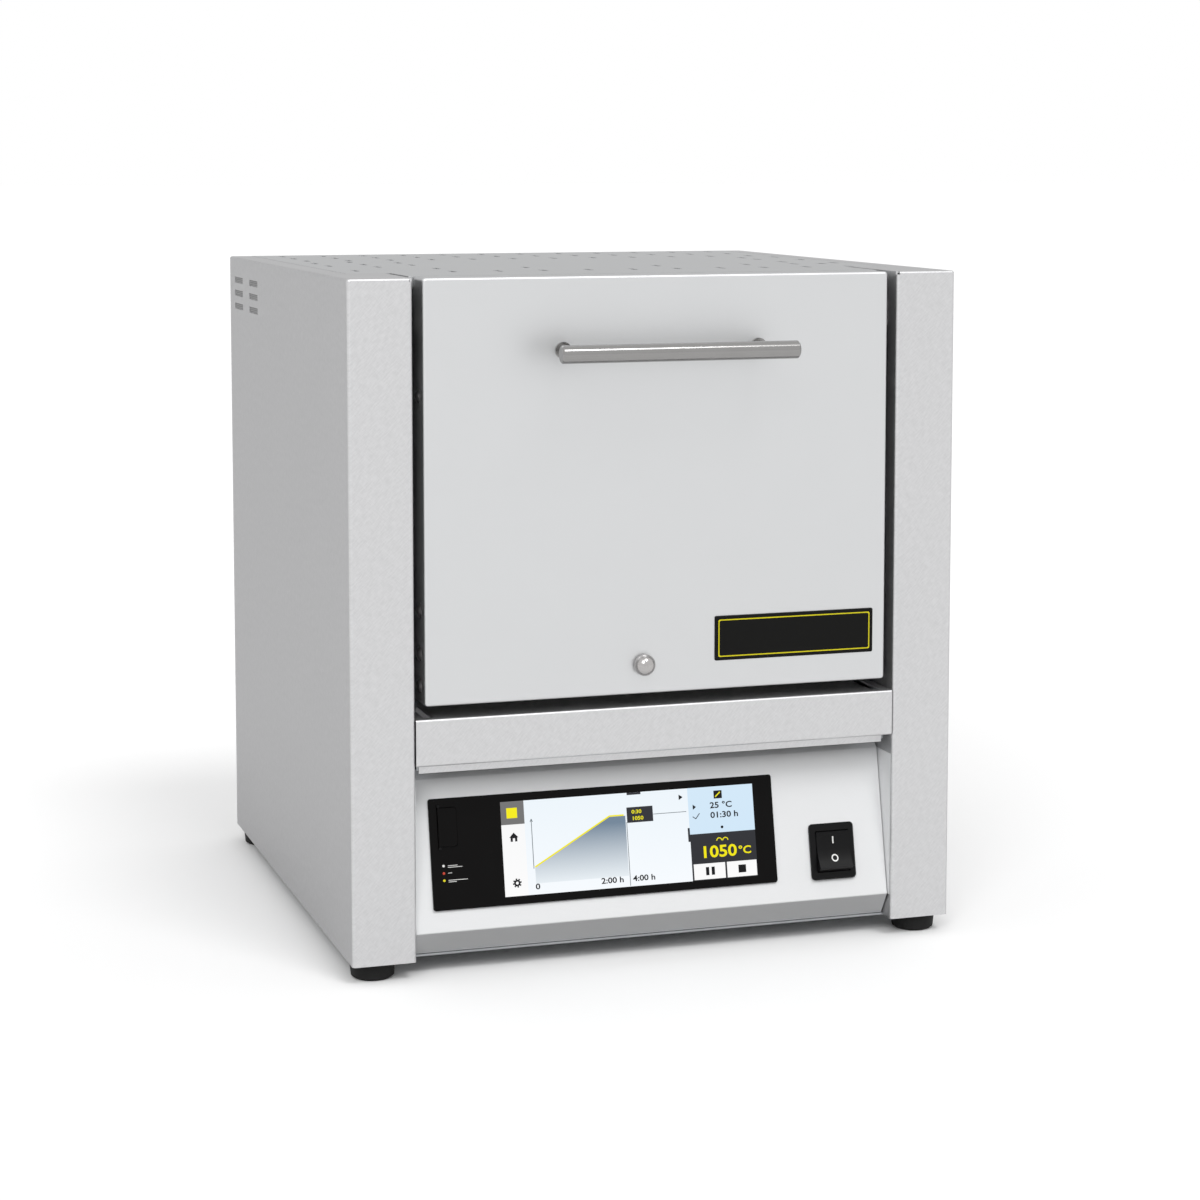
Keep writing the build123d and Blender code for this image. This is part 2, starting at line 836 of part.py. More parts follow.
def thermocouple_head():
    y0 = casing_back + head_gap
    y1 = y0 + head_depth
    body = block(probe_x - head_width / 2, probe_x + head_width / 2, y0, y1,
                 probe_z - head_height / 2, probe_z + head_height / 2)
    collar = ring_y(probe_x, probe_z, 2 * probe_radius, probe_radius + screw_gap, y0 - head_collar, y0)
    screws = [round_y(probe_x + side * head_width / 4, probe_z, screw_shank, y1, y1 + 2) for side in (-1, 1)]
    return body + collar + screws


def exhaust_liner():
    return ring_y(0, exhaust_z, liner_bore + liner_wall, liner_bore, chamber_back, casing_back + sheet / 2)


def exhaust_spigot():
    outer = spigot_bore + spigot_wall
    tube = ring_y(0, exhaust_z, outer, spigot_bore, casing_back + sheet, spigot_end)
    ring = ring_y(0, exhaust_z, spigot_flange, outer - fold_gap, rear_face, rear_face + sheet)
    holes = [
        round_y(x, z, flange_screw_radius + screw_gap, rear_face - 1, rear_face + 3)
        for x, z in flange_screw_spots()
    ]
    return tube + ring - holes


# Electrical pieces in the lower compartment
inlet_rim = 3.0
inlet_rim_depth = 2.5
inlet_depth = 22.0
mouth_width = 24.0
mouth_height = 16.0
mouth_depth = 16.0
pin_places = ((-7.0, -1.5), (0.0, 2.5), (7.0, -1.5))


def mains_inlet():
    half = inlet_width / 2
    rise = inlet_height / 2
    front = rear_face + inlet_rim_depth
    rim = block(inlet_x - half - inlet_rim, inlet_x + half + inlet_rim, rear_face, front,
                inlet_z - rise - inlet_rim, inlet_z + rise + inlet_rim)
    rim = fillet(rim.edges().filter_by(Axis.Y), 2.0)
    body = block(inlet_x - half + 0.2, inlet_x + half - 0.2, rear_face - inlet_depth, rear_face,
                 inlet_z - rise + 0.2, inlet_z + rise - 0.2)
    mouth = block(inlet_x - mouth_width / 2, inlet_x + mouth_width / 2, rear_face - mouth_depth, front + 1,
                  inlet_z - mouth_height / 2, inlet_z + mouth_height / 2)
    mouth = chamfer(mouth.edges().filter_by(Axis.Y).sort_by(Axis.Z)[2:], 4.0)
    pins = [
        block(inlet_x + x - 1, inlet_x + x + 1, rear_face - mouth_depth - 1, rear_face - 4,
              inlet_z + z - 2, inlet_z + z + 2)
        for x, z in pin_places
    ]
    tabs = [
        block(inlet_x + x - 2.4, inlet_x + x + 2.4, rear_face - inlet_depth - 8, rear_face - inlet_depth,
              inlet_z + z - 0.4, inlet_z + z + 0.4)
        for x, z in pin_places
    ]
    return rim + body - mouth + pins + tabs


# The relay stands on its heat sink; supply and terminals stand beside it on the base pan
sink_size = 80.0
sink_right = half_width - 52.5
sink_back = housing_depth - 87.0
sink_plate = 6.0
fin_height = 26.0
fin_count = 9
fin_thickness = 2.0


def heat_sink():
    x0 = sink_right - sink_size
    y0 = sink_back - sink_size
    plate_low = sheet + fin_height
    plate = block(x0, sink_right, y0, sink_back, plate_low, plate_low + sink_plate)
    half = fin_thickness / 2
    fins = [
        block(x - half, x + half, y0, sink_back, sheet, plate_low)
        for x in spread(x0 + half, sink_right - half, fin_count)
    ]
    return plate + fins


relay_width = 46.0
relay_length = 58.0
relay_height = 24.0
relay_stud = 4.0


def power_relay():
    x = sink_right - sink_size / 2
    y = sink_back - sink_size / 2
    low = sheet + fin_height + sink_plate
    high = low + relay_height
    body = block(x - relay_width / 2, x + relay_width / 2, y - relay_length / 2, y + relay_length / 2,
                 low, high)
    body = fillet(body.edges().filter_by(Axis.Z), 2)
    studs = [
        round_z(x + dx, y + dy, relay_stud, high, high + 3)
        for dx in (-relay_width / 4, relay_width / 4) for dy in (-relay_length / 3, relay_length / 3)
    ]
    return body + studs


supply_size = 70.0
supply_height = 45.0
supply_centre = -25.0
supply_wing = 8.0


def power_supply():
    half = supply_size / 2
    y = sink_back - half
    body = block(supply_centre - half, supply_centre + half, y - half, y + half, sheet, sheet + supply_height)
    wings = block(supply_centre - half - supply_wing, supply_centre + half + supply_wing, y - 15, y + 15,
                  sheet, sheet + 2)
    return fillet(body.edges().filter_by(Axis.Z), 3) + wings


terminal_cells = 7
cell_pitch = 10.3
cell_width = 9.4
cell_depth = 32.0
cell_height = 27.0
cell_rail = 5.0


def terminal_block():
    x0 = -half_width + 42.5
    y1 = housing_depth - 49.0
    y0 = y1 - cell_depth
    low = sheet + cell_rail
    high = low + cell_height
    rail = block(x0, x0 + 80, y0 + 2, y1 - 2, sheet, low)
    cells = []
    for step in range(terminal_cells):
        x = x0 + 4 + step * cell_pitch
        cell = block(x, x + cell_width, y0, y1, low, high)
        cells.append(cell - block(x + 2, x + cell_width - 2, y0 - 1, y0 + 8, high - 12, high + 1))
    return rail + cells


# Door: shell, tray, insulation and handle
def door_shell():
    solid = block(-door_half, door_half, 0, door_flange, door_bottom, housing_height)
    solid = fillet(solid.edges().filter_by(Axis.Y), bend)
    solid = fillet(solid.faces().sort_by(Axis.Y)[0].edges(), bend - 0.2)
    shell = offset(solid, amount=-sheet, openings=solid.faces().sort_by(Axis.Y)[-1])
    top_cut = block(-door_half - 1, door_half + 1, door_top_flange, door_flange + 1,
                    housing_height - flange, housing_height + 1)
    low_cut = block(-arm_face, arm_face, door_bottom_flange, door_flange + 1,
                    door_bottom - 1, door_bottom + bend)
    knob_hole = round_y(knob_x, knob_z, 4 + screw_gap, -1, 2 * sheet)
    air = [slot_up(x + knob_x, door_bottom_flange / 2 + 2, 10, 5, door_bottom - 1, door_bottom + 3)
           for x in (-24, -12, 0, 12, 24)]
    return shell - top_cut - low_cut - knob_hole - air - flange_screw_holes()


def flange_screw_places():
    heights = [door_bottom + rise for rise in arm_screw_heights] + [tray_screw_z]
    return [(side, height) for side in (-1, 1) for height in heights]


def flange_screw_holes():
    return [
        round_x(screw_depth, height, screw_shank + screw_gap, side * (arm_back - 1), side * (door_half + 1))
        for side, height in flange_screw_places()
    ]


def door_screws():
    long_shank = door_half - arm_back
    short_shank = 2 * sheet + screw_gap
    screws = []
    for side, height in flange_screw_places():
        shank = short_shank if height == tray_screw_z else long_shank
        screw = dome_screw(screw_head, screw_head_height, screw_shank, shank)
        screws.append(Pos(side * door_half, screw_depth, height) * Rot(0, side * 90, 0) * screw)
    return screws


strip_ahead = 13.0
strip_behind = 7.0
strip_low = 2.0
strip_high = 68.0


def arm_strip():
    return (pivot_y - strip_ahead, pivot_y + strip_behind, door_bottom + strip_low, door_bottom + strip_high)


tray_top_gap = 2.5
arm_notch = 14.0
tray_side_low = 76.0
tray_side_drop = 8.0
pocket_depth = 18.0


def door_tray():
    half = arm_face - screw_gap
    y0, y1 = tray_front, tray_back
    plate = block(-half, half, y0, y1, door_bottom + strip_low, housing_height - tray_top_gap)
    notch = block(arm_back - 1, half + 1, y0 - 1, y1 + 1, door_bottom, door_bottom + arm_notch)
    side = block(half - sheet, half, screw_depth - 6, y0, door_bottom + tray_side_low,
                 housing_height - tray_side_drop)
    side_half = chamber_half + seal_side
    low = chamber_floor - seal_below
    high = chamber_roof + seal_above
    pocket = block(-side_half - sheet, side_half + sheet, y1, y1 + pocket_depth, low - sheet, high + sheet)
    pocket -= block(-side_half, side_half, y1 - 1, y1 + pocket_depth + 1, low, high)
    hole = round_y(knob_x, knob_z, air_hole + 1.5, y0 - 1, y1 + 1)
    tray = plate - notch - mirrored(notch) + side + mirrored(side) + pocket
    return tray - hole - flange_screw_holes()


def door_insulation():
    half = chamber_half + seal_side - screw_gap
    low = chamber_floor - seal_below + screw_gap
    high = chamber_roof + seal_above - screw_gap
    face = collar_front - seal_gap
    body = block(-half, half, tray_back, face, low, high)
    plug = tapered_hole(face, face + plug_depth, -plug_gap + plug_taper, -plug_gap)
    run = face + plug_depth - tray_back
    tilt = degrees(atan2(air_rise, run))
    channel = Pos(knob_x, (tray_back + face + plug_depth) / 2, knob_z + air_rise / 2)
    channel = channel * Rot(tilt, 0, 0) * Rot(90, 0, 0) * Cylinder(air_hole, hypot(air_rise, run) + 20)
    return body + plug - channel


def handle_bar():
    bar = round_x(-handle_out, handle_z, handle_radius, -handle_length / 2, handle_length / 2)
    bar = chamfer(bar.edges(), 0.8)
    seats = [round_y(x, handle_z, standoff_radius + screw_gap, -handle_out, 0) for x in standoff_places()]
    return bar - seats


def standoff_places():
    return (-handle_length / 2 + standoff_inset, handle_length / 2 - standoff_inset)


def handle_standoffs():
    posts = []
    for x in standoff_places():
        post = round_y(x, handle_z, standoff_radius, -handle_out, 0)
        foot_ring = round_y(x, handle_z, standoff_radius + 1.5, -2, 0)
        posts.append(post + foot_ring)
    return posts


# Air inlet in the door: knob, rod and damper slide together in a flanged bush
guide_radius = 4.0
guide_length = 14.0
guide_flange = 8.0


def air_guide():
    bore = rod_radius + run_gap
    bush = ring_y(knob_x, knob_z, guide_radius, bore, 0, guide_length)
    return bush + ring_y(knob_x, knob_z, guide_flange, bore, sheet, sheet + 2)


damper_disc = 2.0
damper_nut = 4.0


def air_knob():
    rod_length = tray_front - rest_gap - damper_disc
    outline = make_face([
        Polyline((0, knob_height), (0, -rod_length), (rod_radius, -rod_length), (rod_radius, 0),
                 (knob_radius - 1, 0), (knob_radius, 1.2), (knob_radius, knob_skirt)),
        dome(knob_radius, knob_skirt, knob_height - knob_skirt),
    ])
    return Pos(knob_x, -rest_gap, knob_z) * Rot(90, 0, 0) * revolve(Plane.XZ * outline, Axis.Z)


def air_damper():
    y1 = tray_front - rest_gap
    y0 = y1 - damper_disc
    disc = round_y(knob_x, knob_z, air_hole + 4, y0, y1)
    nut = ring_y(knob_x, knob_z, rod_radius + 2, rod_radius + screw_gap, y0 - damper_nut, y0)
    return disc + nut


# Gooseneck hinge: each arm leaves its pin to the back, climbs through the sill slot and turns forward
band_end = 80.0
web_width = 12.0
web_height = 8.0


def hinge_arm_left():
    hub = Circle(hub_radius)
    inside = Circle(arm_outer)
    bar = Rot(0, 0, arm_bar_angle) * Pos(arm_outer / 2, 0) * Rectangle(arm_outer, arm_bar_width)
    ring = Circle(arm_outer) - Circle(arm_inner)
    far = 2 * arm_outer
    start = radians(arm_bar_angle) - asin(arm_bar_width / 2 / arm_outer)
    end = radians(band_end)
    wedge = make_face(Polyline(
        (0, 0),
        (far * cos(start), far * sin(start)),
        (far, far),
        (far * cos(end), far * sin(end)),
        close=True,
    ))
    y0, y1, z0, z1 = arm_strip()
    strip = Pos((y0 + y1) / 2 - pivot_y, (z0 + z1) / 2 - pivot_z) * RectangleRounded(y1 - y0, z1 - z0, 3)
    web = Pos(y1 - pivot_y + 2, door_bottom + web_height - pivot_z) * Rectangle(web_width, web_height)
    outline = hub + (bar & inside) + (ring & wedge) + strip + (web - Circle(arm_inner))
    outline -= Circle(pin_radius + run_gap)
    plate = extrude(Plane(origin=(-arm_face, pivot_y, pivot_z), x_dir=(0, 1, 0), z_dir=(1, 0, 0)) * outline,
                    amount=arm_thickness)
    return plate - flange_screw_holes()


def ear_faces():
    outer = arm_face + bracket_gap
    inner = arm_back - bracket_gap
    return (outer + bracket_sheet, outer, inner, inner - bracket_sheet)


bracket_ahead = 1.5
bracket_end_gap = 2.0
ear_foot = 20.0
ear_rise = 3.0


def bracket_ear(x0, x1):
    y0 = pivot_y - hub_radius - bracket_ahead
    y1 = frame_front - 2 * sheet - bracket_end_gap
    low = deck_top
    high = deck_top + bracket_sheet
    cheek = along_x([
        (y0, low),
        (y1, low),
        (y1, high),
        (pivot_y + ear_foot, high + ear_rise),
        (pivot_y + hub_radius, pivot_z),
        (pivot_y, pivot_z + hub_radius),
        (pivot_y - hub_radius, pivot_z),
        (y0, high),
    ], x0, x1)
    return cheek + round_x(pivot_y, pivot_z, hub_radius, x0, x1)


def hinge_brackets():
    x0, x1, x2, x3 = [-x for x in ear_faces()]
    y0 = pivot_y - hub_radius - bracket_ahead
    y1 = frame_front - 2 * sheet - bracket_end_gap
    base = block(x0, x3, y0, y1, deck_top, deck_top + bracket_sheet)
    bore = round_x(pivot_y, pivot_z, pin_radius + run_gap, x0 - 1, x3 + 1)
    bracket = base + bracket_ear(x0, x1) + bracket_ear(x2, x3) - bore
    return [bracket, mirrored(bracket)]


pin_head = 1.3
pin_tail = 1.5


def hinge_pins():
    x0, _, _, x3 = [-x for x in ear_faces()]
    pin = round_x(pivot_y, pivot_z, pin_radius, x0, x3 + pin_tail)
    head = round_x(pivot_y, pivot_z, pin_radius + pin_tail, x0 - pin_head, x0)
    return [pin + head, mirrored(pin + head)]


# Catch springs and door contact
catch_y = 26.0
catch_high = housing_height - 18.0
catch_low = catch_high - 16.0
leaf = 1.0
catch_bump = 2.0


def door_catches():
    wall = -post_inner
    spring = block(wall, wall + leaf, catch_y - 10, catch_y + 10, catch_low, catch_high)
    bump = round_z(wall + leaf, catch_y, catch_bump, catch_low + 2, catch_high - 2)
    bump &= block(wall, wall + 4, catch_y - 5, catch_y + 5, catch_low, catch_high)
    catch = spring + bump
    return [catch, mirrored(catch)]


contact_right = post_inner - 8.5
contact_width = 8.0
contact_depth = 22.0
contact_height = 20.0
magnet_width = 7.0


def door_contact():
    middle = (catch_low + catch_high) / 2
    sensor = block(contact_right - contact_width, contact_right, frame_front - contact_depth, frame_front,
                   middle - contact_height / 2, middle + contact_height / 2)
    return fillet(sensor.edges().filter_by(Axis.Y), 1.5)


def door_magnet():
    right = arm_face - screw_gap - sheet
    return block(right - magnet_width, right, tray_front - 11, tray_front - 1, catch_low, catch_high)


# Every node, by name
nodes = {
    "side_panel_left": side_panel_left(),
    "top_cover": top_cover(),
    "top_rails": top_rails(),
    "rear_panel": rear_panel(),
    "rear_screws": rear_screws(),
    "base_pan": base_pan(),
    "rubber_feet": rubber_feet(),
    "foot_screws": foot_screws(),
    "mid_deck": mid_deck(),
    "sill_ledge": sill_ledge(),
    "control_fascia": control_fascia(),
    "display_glass": display_glass(),
    "display_module": display_module(),
    "controller_housing": controller_housing(),
    "usb_socket": usb_socket(),
    "usb_flap": usb_flap(),
    "usb_hinge": usb_hinge(),
    "switch_housing": switch_housing(),
    "switch_rocker": switch_rocker(),
    "front_frame": front_frame(),
    "muffle_casing": muffle_casing(),
    "casing_rails": casing_rails(),
    "collar_brick": collar_brick(),
    "floor_insulation": floor_insulation(),
    "roof_insulation": roof_insulation(),
    "side_insulation_left": side_insulation_left(),
    "rear_insulation": rear_insulation(),
    "hearth_plate": hearth_plate(),
    "heating_plate_left": heating_plate_left(),
    "heater_terminals": heater_terminals(),
    "terminal_sleeves": terminal_sleeves(),
    "thermocouple_sheath": thermocouple_sheath(),
    "thermocouple_head": thermocouple_head(),
    "exhaust_liner": exhaust_liner(),
    "exhaust_spigot": exhaust_spigot(),
    "mains_inlet": mains_inlet(),
    "heat_sink": heat_sink(),
    "power_relay": power_relay(),
    "power_supply": power_supply(),
    "terminal_block": terminal_block(),
    "door_shell": door_shell(),
    "door_tray": door_tray(),
    "door_insulation": door_insulation(),
    "door_screws": door_screws(),
    "handle_bar": handle_bar(),
    "handle_standoffs": handle_standoffs(),
    "air_guide": air_guide(),
    "air_knob": air_knob(),
    "air_damper": air_damper(),
    "hinge_arm_left": hinge_arm_left(),
    "hinge_brackets": hinge_brackets(),
    "hinge_pins": hinge_pins(),
    "door_catches": door_catches(),
    "door_contact": door_contact(),
    "door_magnet": door_magnet(),
}
for name in [name for name in nodes if name.endswith("_left")]:
    nodes[name.replace("_left", "_right")] = mirrored(nodes[name])

# Move every node to the frame that stands on its feet, centred in x and y, and write it
to_frame = Pos(0, frame_shift, foot_height)
os.makedirs("parts", exist_ok=True)
for name, shape in nodes.items():
    solids = shape if isinstance(shape, list) else [shape]
    pieces = [to_frame * solid for solid in solids]
    export_step(pieces[0] if len(pieces) == 1 else Compound(children=pieces), f"parts/{name}.step")
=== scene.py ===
import bpy
import bmesh
import math
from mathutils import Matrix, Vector
from mathutils.bvhtree import BVHTree


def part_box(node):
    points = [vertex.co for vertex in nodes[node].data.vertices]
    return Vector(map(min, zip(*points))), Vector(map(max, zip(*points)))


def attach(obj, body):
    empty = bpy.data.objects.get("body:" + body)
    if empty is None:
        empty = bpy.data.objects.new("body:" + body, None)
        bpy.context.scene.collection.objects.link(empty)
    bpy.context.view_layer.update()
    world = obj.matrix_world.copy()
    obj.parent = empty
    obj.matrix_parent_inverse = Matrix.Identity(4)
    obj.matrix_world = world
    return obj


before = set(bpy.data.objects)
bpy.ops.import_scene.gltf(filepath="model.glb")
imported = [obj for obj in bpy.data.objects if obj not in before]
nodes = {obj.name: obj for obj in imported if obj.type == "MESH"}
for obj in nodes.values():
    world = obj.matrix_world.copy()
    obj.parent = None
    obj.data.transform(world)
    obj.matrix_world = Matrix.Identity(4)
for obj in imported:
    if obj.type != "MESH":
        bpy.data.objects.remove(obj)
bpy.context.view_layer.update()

mm = 0.001


# Helpers for colours and shader nodes
def linear(hexText):  # sRGB colour to the renderer's linear light
    channels = [int(hexText[i:i + 2], 16) / 255 for i in (0, 2, 4)]
    return tuple(c / 12.92 if c <= 0.04045 else ((c + 0.055) / 1.055) ** 2.4 for c in channels) + (1.0,)


def addNode(tree, kind, values=None, links=None, **settings):
    # values go on the node's sockets, links lead into them
    node = tree.nodes.new("ShaderNode" + kind)
    for key, value in settings.items():
        setattr(node, key, value)
    for key, value in (values or {}).items():
        node.inputs[key].default_value = value
    for key, source in (links or {}).items():
        tree.links.new(source, node.inputs[key])
    return node


def emptyMaterial(name):
    material = bpy.data.materials.new(name)
    material.use_nodes = True
    material.node_tree.nodes.clear()
    return material, material.node_tree


def cells(sizeMm):  # texture scale that makes its cells this large
    return 1 / (sizeMm * mm)


# What a look has where its own dictionary says nothing else
usualLook = {"metal": 0.0, "stretch": (1, 1, 1), "detail": 2.0, "cloudDetail": 3.0, "cloudShare": 0.4,
             "reliefShare": 0.6}


def finish(name, ownLook, **sockets):
    # two close tones, uneven roughness and a fine relief, which is noise unless the look has its own pattern
    look = {**usualLook, **ownLook}
    material, tree = emptyMaterial(name)
    where = addNode(tree, "TexCoord").outputs["Object"]
    placed = addNode(tree, "Mapping", {"Scale": look["stretch"]}, {"Vector": where}).outputs[0]
    if "pattern" in look:
        fine = look["pattern"](tree, placed, look)
    else:
        grain = {"Scale": cells(look["grainMm"]), "Detail": look["detail"]}
        fine = addNode(tree, "TexNoise", grain, {"Vector": placed}).outputs["Fac"]
    drift = {"Scale": cells(look["cloudMm"]), "Detail": look["cloudDetail"]}
    cloud = addNode(tree, "TexNoise", drift, {"Vector": where}).outputs["Fac"]
    share = addNode(tree, "Mix", {0: look["cloudShare"]}, {2: fine, 3: cloud}, data_type="FLOAT").outputs[0]
    tones = {6: linear(look["dark"]), 7: linear(look["light"])}
    tone = addNode(tree, "Mix", tones, {0: share}, data_type="RGBA").outputs[2]
    low, high = look["rough"]
    sheen = addNode(tree, "MapRange", {"To Min": low, "To Max": high}, {"Value": share}).outputs[0]
    depth = {"Strength": look["reliefShare"], "Distance": look["depthMm"] * mm}
    relief = addNode(tree, "Bump", depth, {"Height": fine}).outputs[0]
    settings = {key.replace("_", " "): value for key, value in sockets.items()}
    settings["Metallic"] = look["metal"]
    shader = addNode(tree, "BsdfPrincipled", settings,
                     {"Base Color": tone, "Roughness": sheen, "Normal": relief})
    addNode(tree, "OutputMaterial", links={"Surface": shader.outputs[0]})
    return material


# Patterns that some looks name, each from the placed texture point
def linenStrokes(tree, placed, look):  # two crossed sets of short diagonal strokes, the first set stronger
    parts = addNode(tree, "SeparateXYZ", links={"Vector": placed})
    across = addNode(tree, "Math", links={0: parts.outputs[0], 1: parts.outputs[1]}, operation="ADD")
    flat = addNode(tree, "CombineXYZ", links={"X": across.outputs[0], "Y": parts.outputs[2]})
    grain = {"Scale": cells(look["grainMm"]), "Detail": look["detail"]}
    slim = {"Scale": (1.0, look["grainMm"] / look["strokeMm"], 1.0)}
    fields = []
    for angle, shift in look["strokeSets"]:
        turn = {"Rotation": (0, 0, math.radians(angle)), "Location": (shift, shift, 0)}
        turned = addNode(tree, "Mapping", turn, {"Vector": flat.outputs[0]})
        drawn = addNode(tree, "Mapping", slim, {"Vector": turned.outputs[0]})
        fields.append(addNode(tree, "TexNoise", grain, {"Vector": drawn.outputs[0]}).outputs["Fac"])
    both = addNode(tree, "Mix", {0: look["secondShare"]}, {2: fields[0], 3: fields[1]}, data_type="FLOAT")
    low, high = look["noiseRange"]
    spread = addNode(tree, "MapRange", {"From Min": low, "From Max": high}, {"Value": both.outputs[0]})
    return spread.outputs[0]


def brickPores(tree, placed, look):  # round holes left where the filler burnt out
    scale = {"Scale": cells(look["grainMm"])}
    distance = addNode(tree, "TexVoronoi", scale, {"Vector": placed}, feature="F1").outputs["Distance"]
    low, high = look["poreRange"]
    return addNode(tree, "MapRange", {"From Min": low, "From Max": high}, {"Value": distance}).outputs[0]


def zincSpangle(tree, placed, look):  # flat crystals, each of a slightly different grey
    scale = {"Scale": cells(look["grainMm"])}
    return addNode(tree, "TexVoronoi", scale, {"Vector": placed}).outputs["Color"]


def gauzeWires(tree, placed, look):  # level wires, one above the other
    scale = {"Scale": cells(look["grainMm"]) / look["wavesPerUnit"]}
    return addNode(tree, "TexWave", scale, {"Vector": placed}, bands_direction="Z").outputs["Fac"]


# Materials, each named for what the real piece is made of

# sheet seen at a flat angle shows a dark room edge, so its glancing reflections are held down
glancing = {"tint": (0.43, 0.43, 0.43, 1.0)}
# linen-rolled stainless: the embossed strokes are drawn a little coarser than real, so that they show
linenStainless = {"metal": 1.0, "dark": "C7C7C8", "light": "D2D2D3", "rough": (0.40, 0.47), "grainMm": 0.85,
                  "detail": 1.0, "strokeMm": 5.0, "strokeSets": ((44, 0.0), (-46, 3.7)), "secondShare": 0.35,
                  "noiseRange": (0.35, 0.65), "cloudMm": 60, "cloudShare": 0.1, "depthMm": 0.004,
                  "pattern": linenStrokes}
# bead-blasted stainless: an even, soft sheen
satinStainless = {"metal": 1.0, "dark": "CFD0D1", "light": "D3D4D5", "rough": (0.38, 0.44), "grainMm": 0.5,
                  "cloudMm": 45, "depthMm": 0.006}
# drawn stainless bar: lines along its length pull the highlight into a long streak
drawnStainless = {"metal": 1.0, "dark": "8F8E8D", "light": "9B9A99", "rough": (0.13, 0.19), "grainMm": 0.35,
                  "cloudMm": 12, "depthMm": 0.003, "stretch": (0.02, 1, 1)}
# polished stainless: mirror-like, with a few handling marks
polishedStainless = {"metal": 1.0, "dark": "ABA8A7", "light": "BCBAB9", "rough": (0.12, 0.24),
                     "grainMm": 4.0, "detail": 4.0, "cloudMm": 9, "depthMm": 0.004, "reliefShare": 0.3}
# galvanised sheet: dull grey with a faint spangle
galvanisedSteel = {"metal": 1.0, "dark": "989B9E", "light": "ABAEB0", "rough": (0.38, 0.52), "grainMm": 9.0,
                   "cloudMm": 4, "depthMm": 0.008, "reliefShare": 0.3, "pattern": zincSpangle}
# powder coat: a smooth baked skin with slight orange peel
powderCoat = {"dark": "EFF0F1", "light": "F4F5F6", "rough": (0.38, 0.46), "grainMm": 0.6, "cloudMm": 8,
              "depthMm": 0.01}
# toughened glass, printed black behind: deep, with sharp faint reflections
blackGlass = {"dark": "070606", "light": "0D0C0C", "rough": (0.05, 0.12), "grainMm": 18, "cloudMm": 25,
              "depthMm": 0.01, "reliefShare": 0.15}
# moulded ABS: spark-eroded grain breaks up the highlights
mouldedAbs = {"dark": "0B0B0C", "light": "131314", "rough": (0.30, 0.42), "grainMm": 0.45, "cloudMm": 6,
              "depthMm": 0.02, "reliefShare": 0.5}
# glass-filled polyamide: mid grey and duller than ABS
greyPolyamide = {"dark": "4C4F51", "light": "5C5F61", "rough": (0.40, 0.52), "grainMm": 0.45, "cloudMm": 6,
                 "depthMm": 0.02, "reliefShare": 0.5}
# pressed EPDM rubber: dull black with a dusty bloom
epdmRubber = {"dark": "161616", "light": "262626", "rough": (0.60, 0.80), "grainMm": 0.8, "detail": 3.0,
              "cloudMm": 5, "depthMm": 0.05}
# vacuum-formed ceramic fibre: chalky white with fibre flecks
fibreBoard = {"dark": "D3CDBF", "light": "F0EDE5", "rough": (0.88, 0.98), "grainMm": 1.6, "detail": 6.0,
              "cloudMm": 14, "depthMm": 0.25, "reliefShare": 0.8, "stretch": (1, 0.35, 1)}
# insulating firebrick: cream and open-pored
fireBrick = {"dark": "B8A988", "light": "DED3BA", "rough": (0.90, 0.98), "grainMm": 2.4, "cloudMm": 20,
             "depthMm": 0.35, "reliefShare": 0.9, "pattern": brickPores, "poreRange": (0.1, 0.45)}
# cast refractory: pale buff with sandy grain and a faint heat bloom
castCeramic = {"dark": "B4A995", "light": "D6D0C3", "rough": (0.78, 0.92), "grainMm": 0.9, "detail": 4.0,
               "cloudMm": 40, "cloudShare": 0.6, "depthMm": 0.12, "reliefShare": 0.7}
# extruded aluminium: bright, with die lines along the fins
extrudedAluminium = {"metal": 1.0, "dark": "BCBEC0", "light": "D0D2D4", "rough": (0.28, 0.42),
                     "grainMm": 0.5, "cloudMm": 10, "depthMm": 0.01, "stretch": (1, 0.03, 1)}
# stainless wire gauze behind the side slots, its wires drawn coarser than real so that they show
wireGauze = {"dark": "4A4A4B", "light": "A0A0A1", "rough": (0.45, 0.60), "grainMm": 1.3, "cloudMm": 8,
             "cloudShare": 0.1, "depthMm": 0.1, "pattern": gauzeWires, "wavesPerUnit": 3.2}
# screen-printed inks and the black film of the bare plate: thin, slightly uneven layers
inkGrain = {"rough": (0.30, 0.43), "grainMm": 2.0, "detail": 3.0, "cloudMm": 5, "depthMm": 0.005,
            "reliefShare": 0.3}
blackFilm = {"dark": "0C0C0B", "light": "131312", **inkGrain}
yellowInk = {"dark": "E9DC1E", "light": "F4E82A", **inkGrain}
whiteInk = {"dark": "E4E4E2", "light": "F0F0EE", **inkGrain}
redInk = {"dark": "C9402A", "light": "D9503A", **inkGrain}
# backlit liquid crystal picture: fine pixels, a little uneven, under dark glass
backlit = {"pixelMm": 0.4, "detail": 0.0, "uneven": 0.04, "glass": "050505", "rough": 0.12, "specular": 0.1,
           "strength": 1.0}


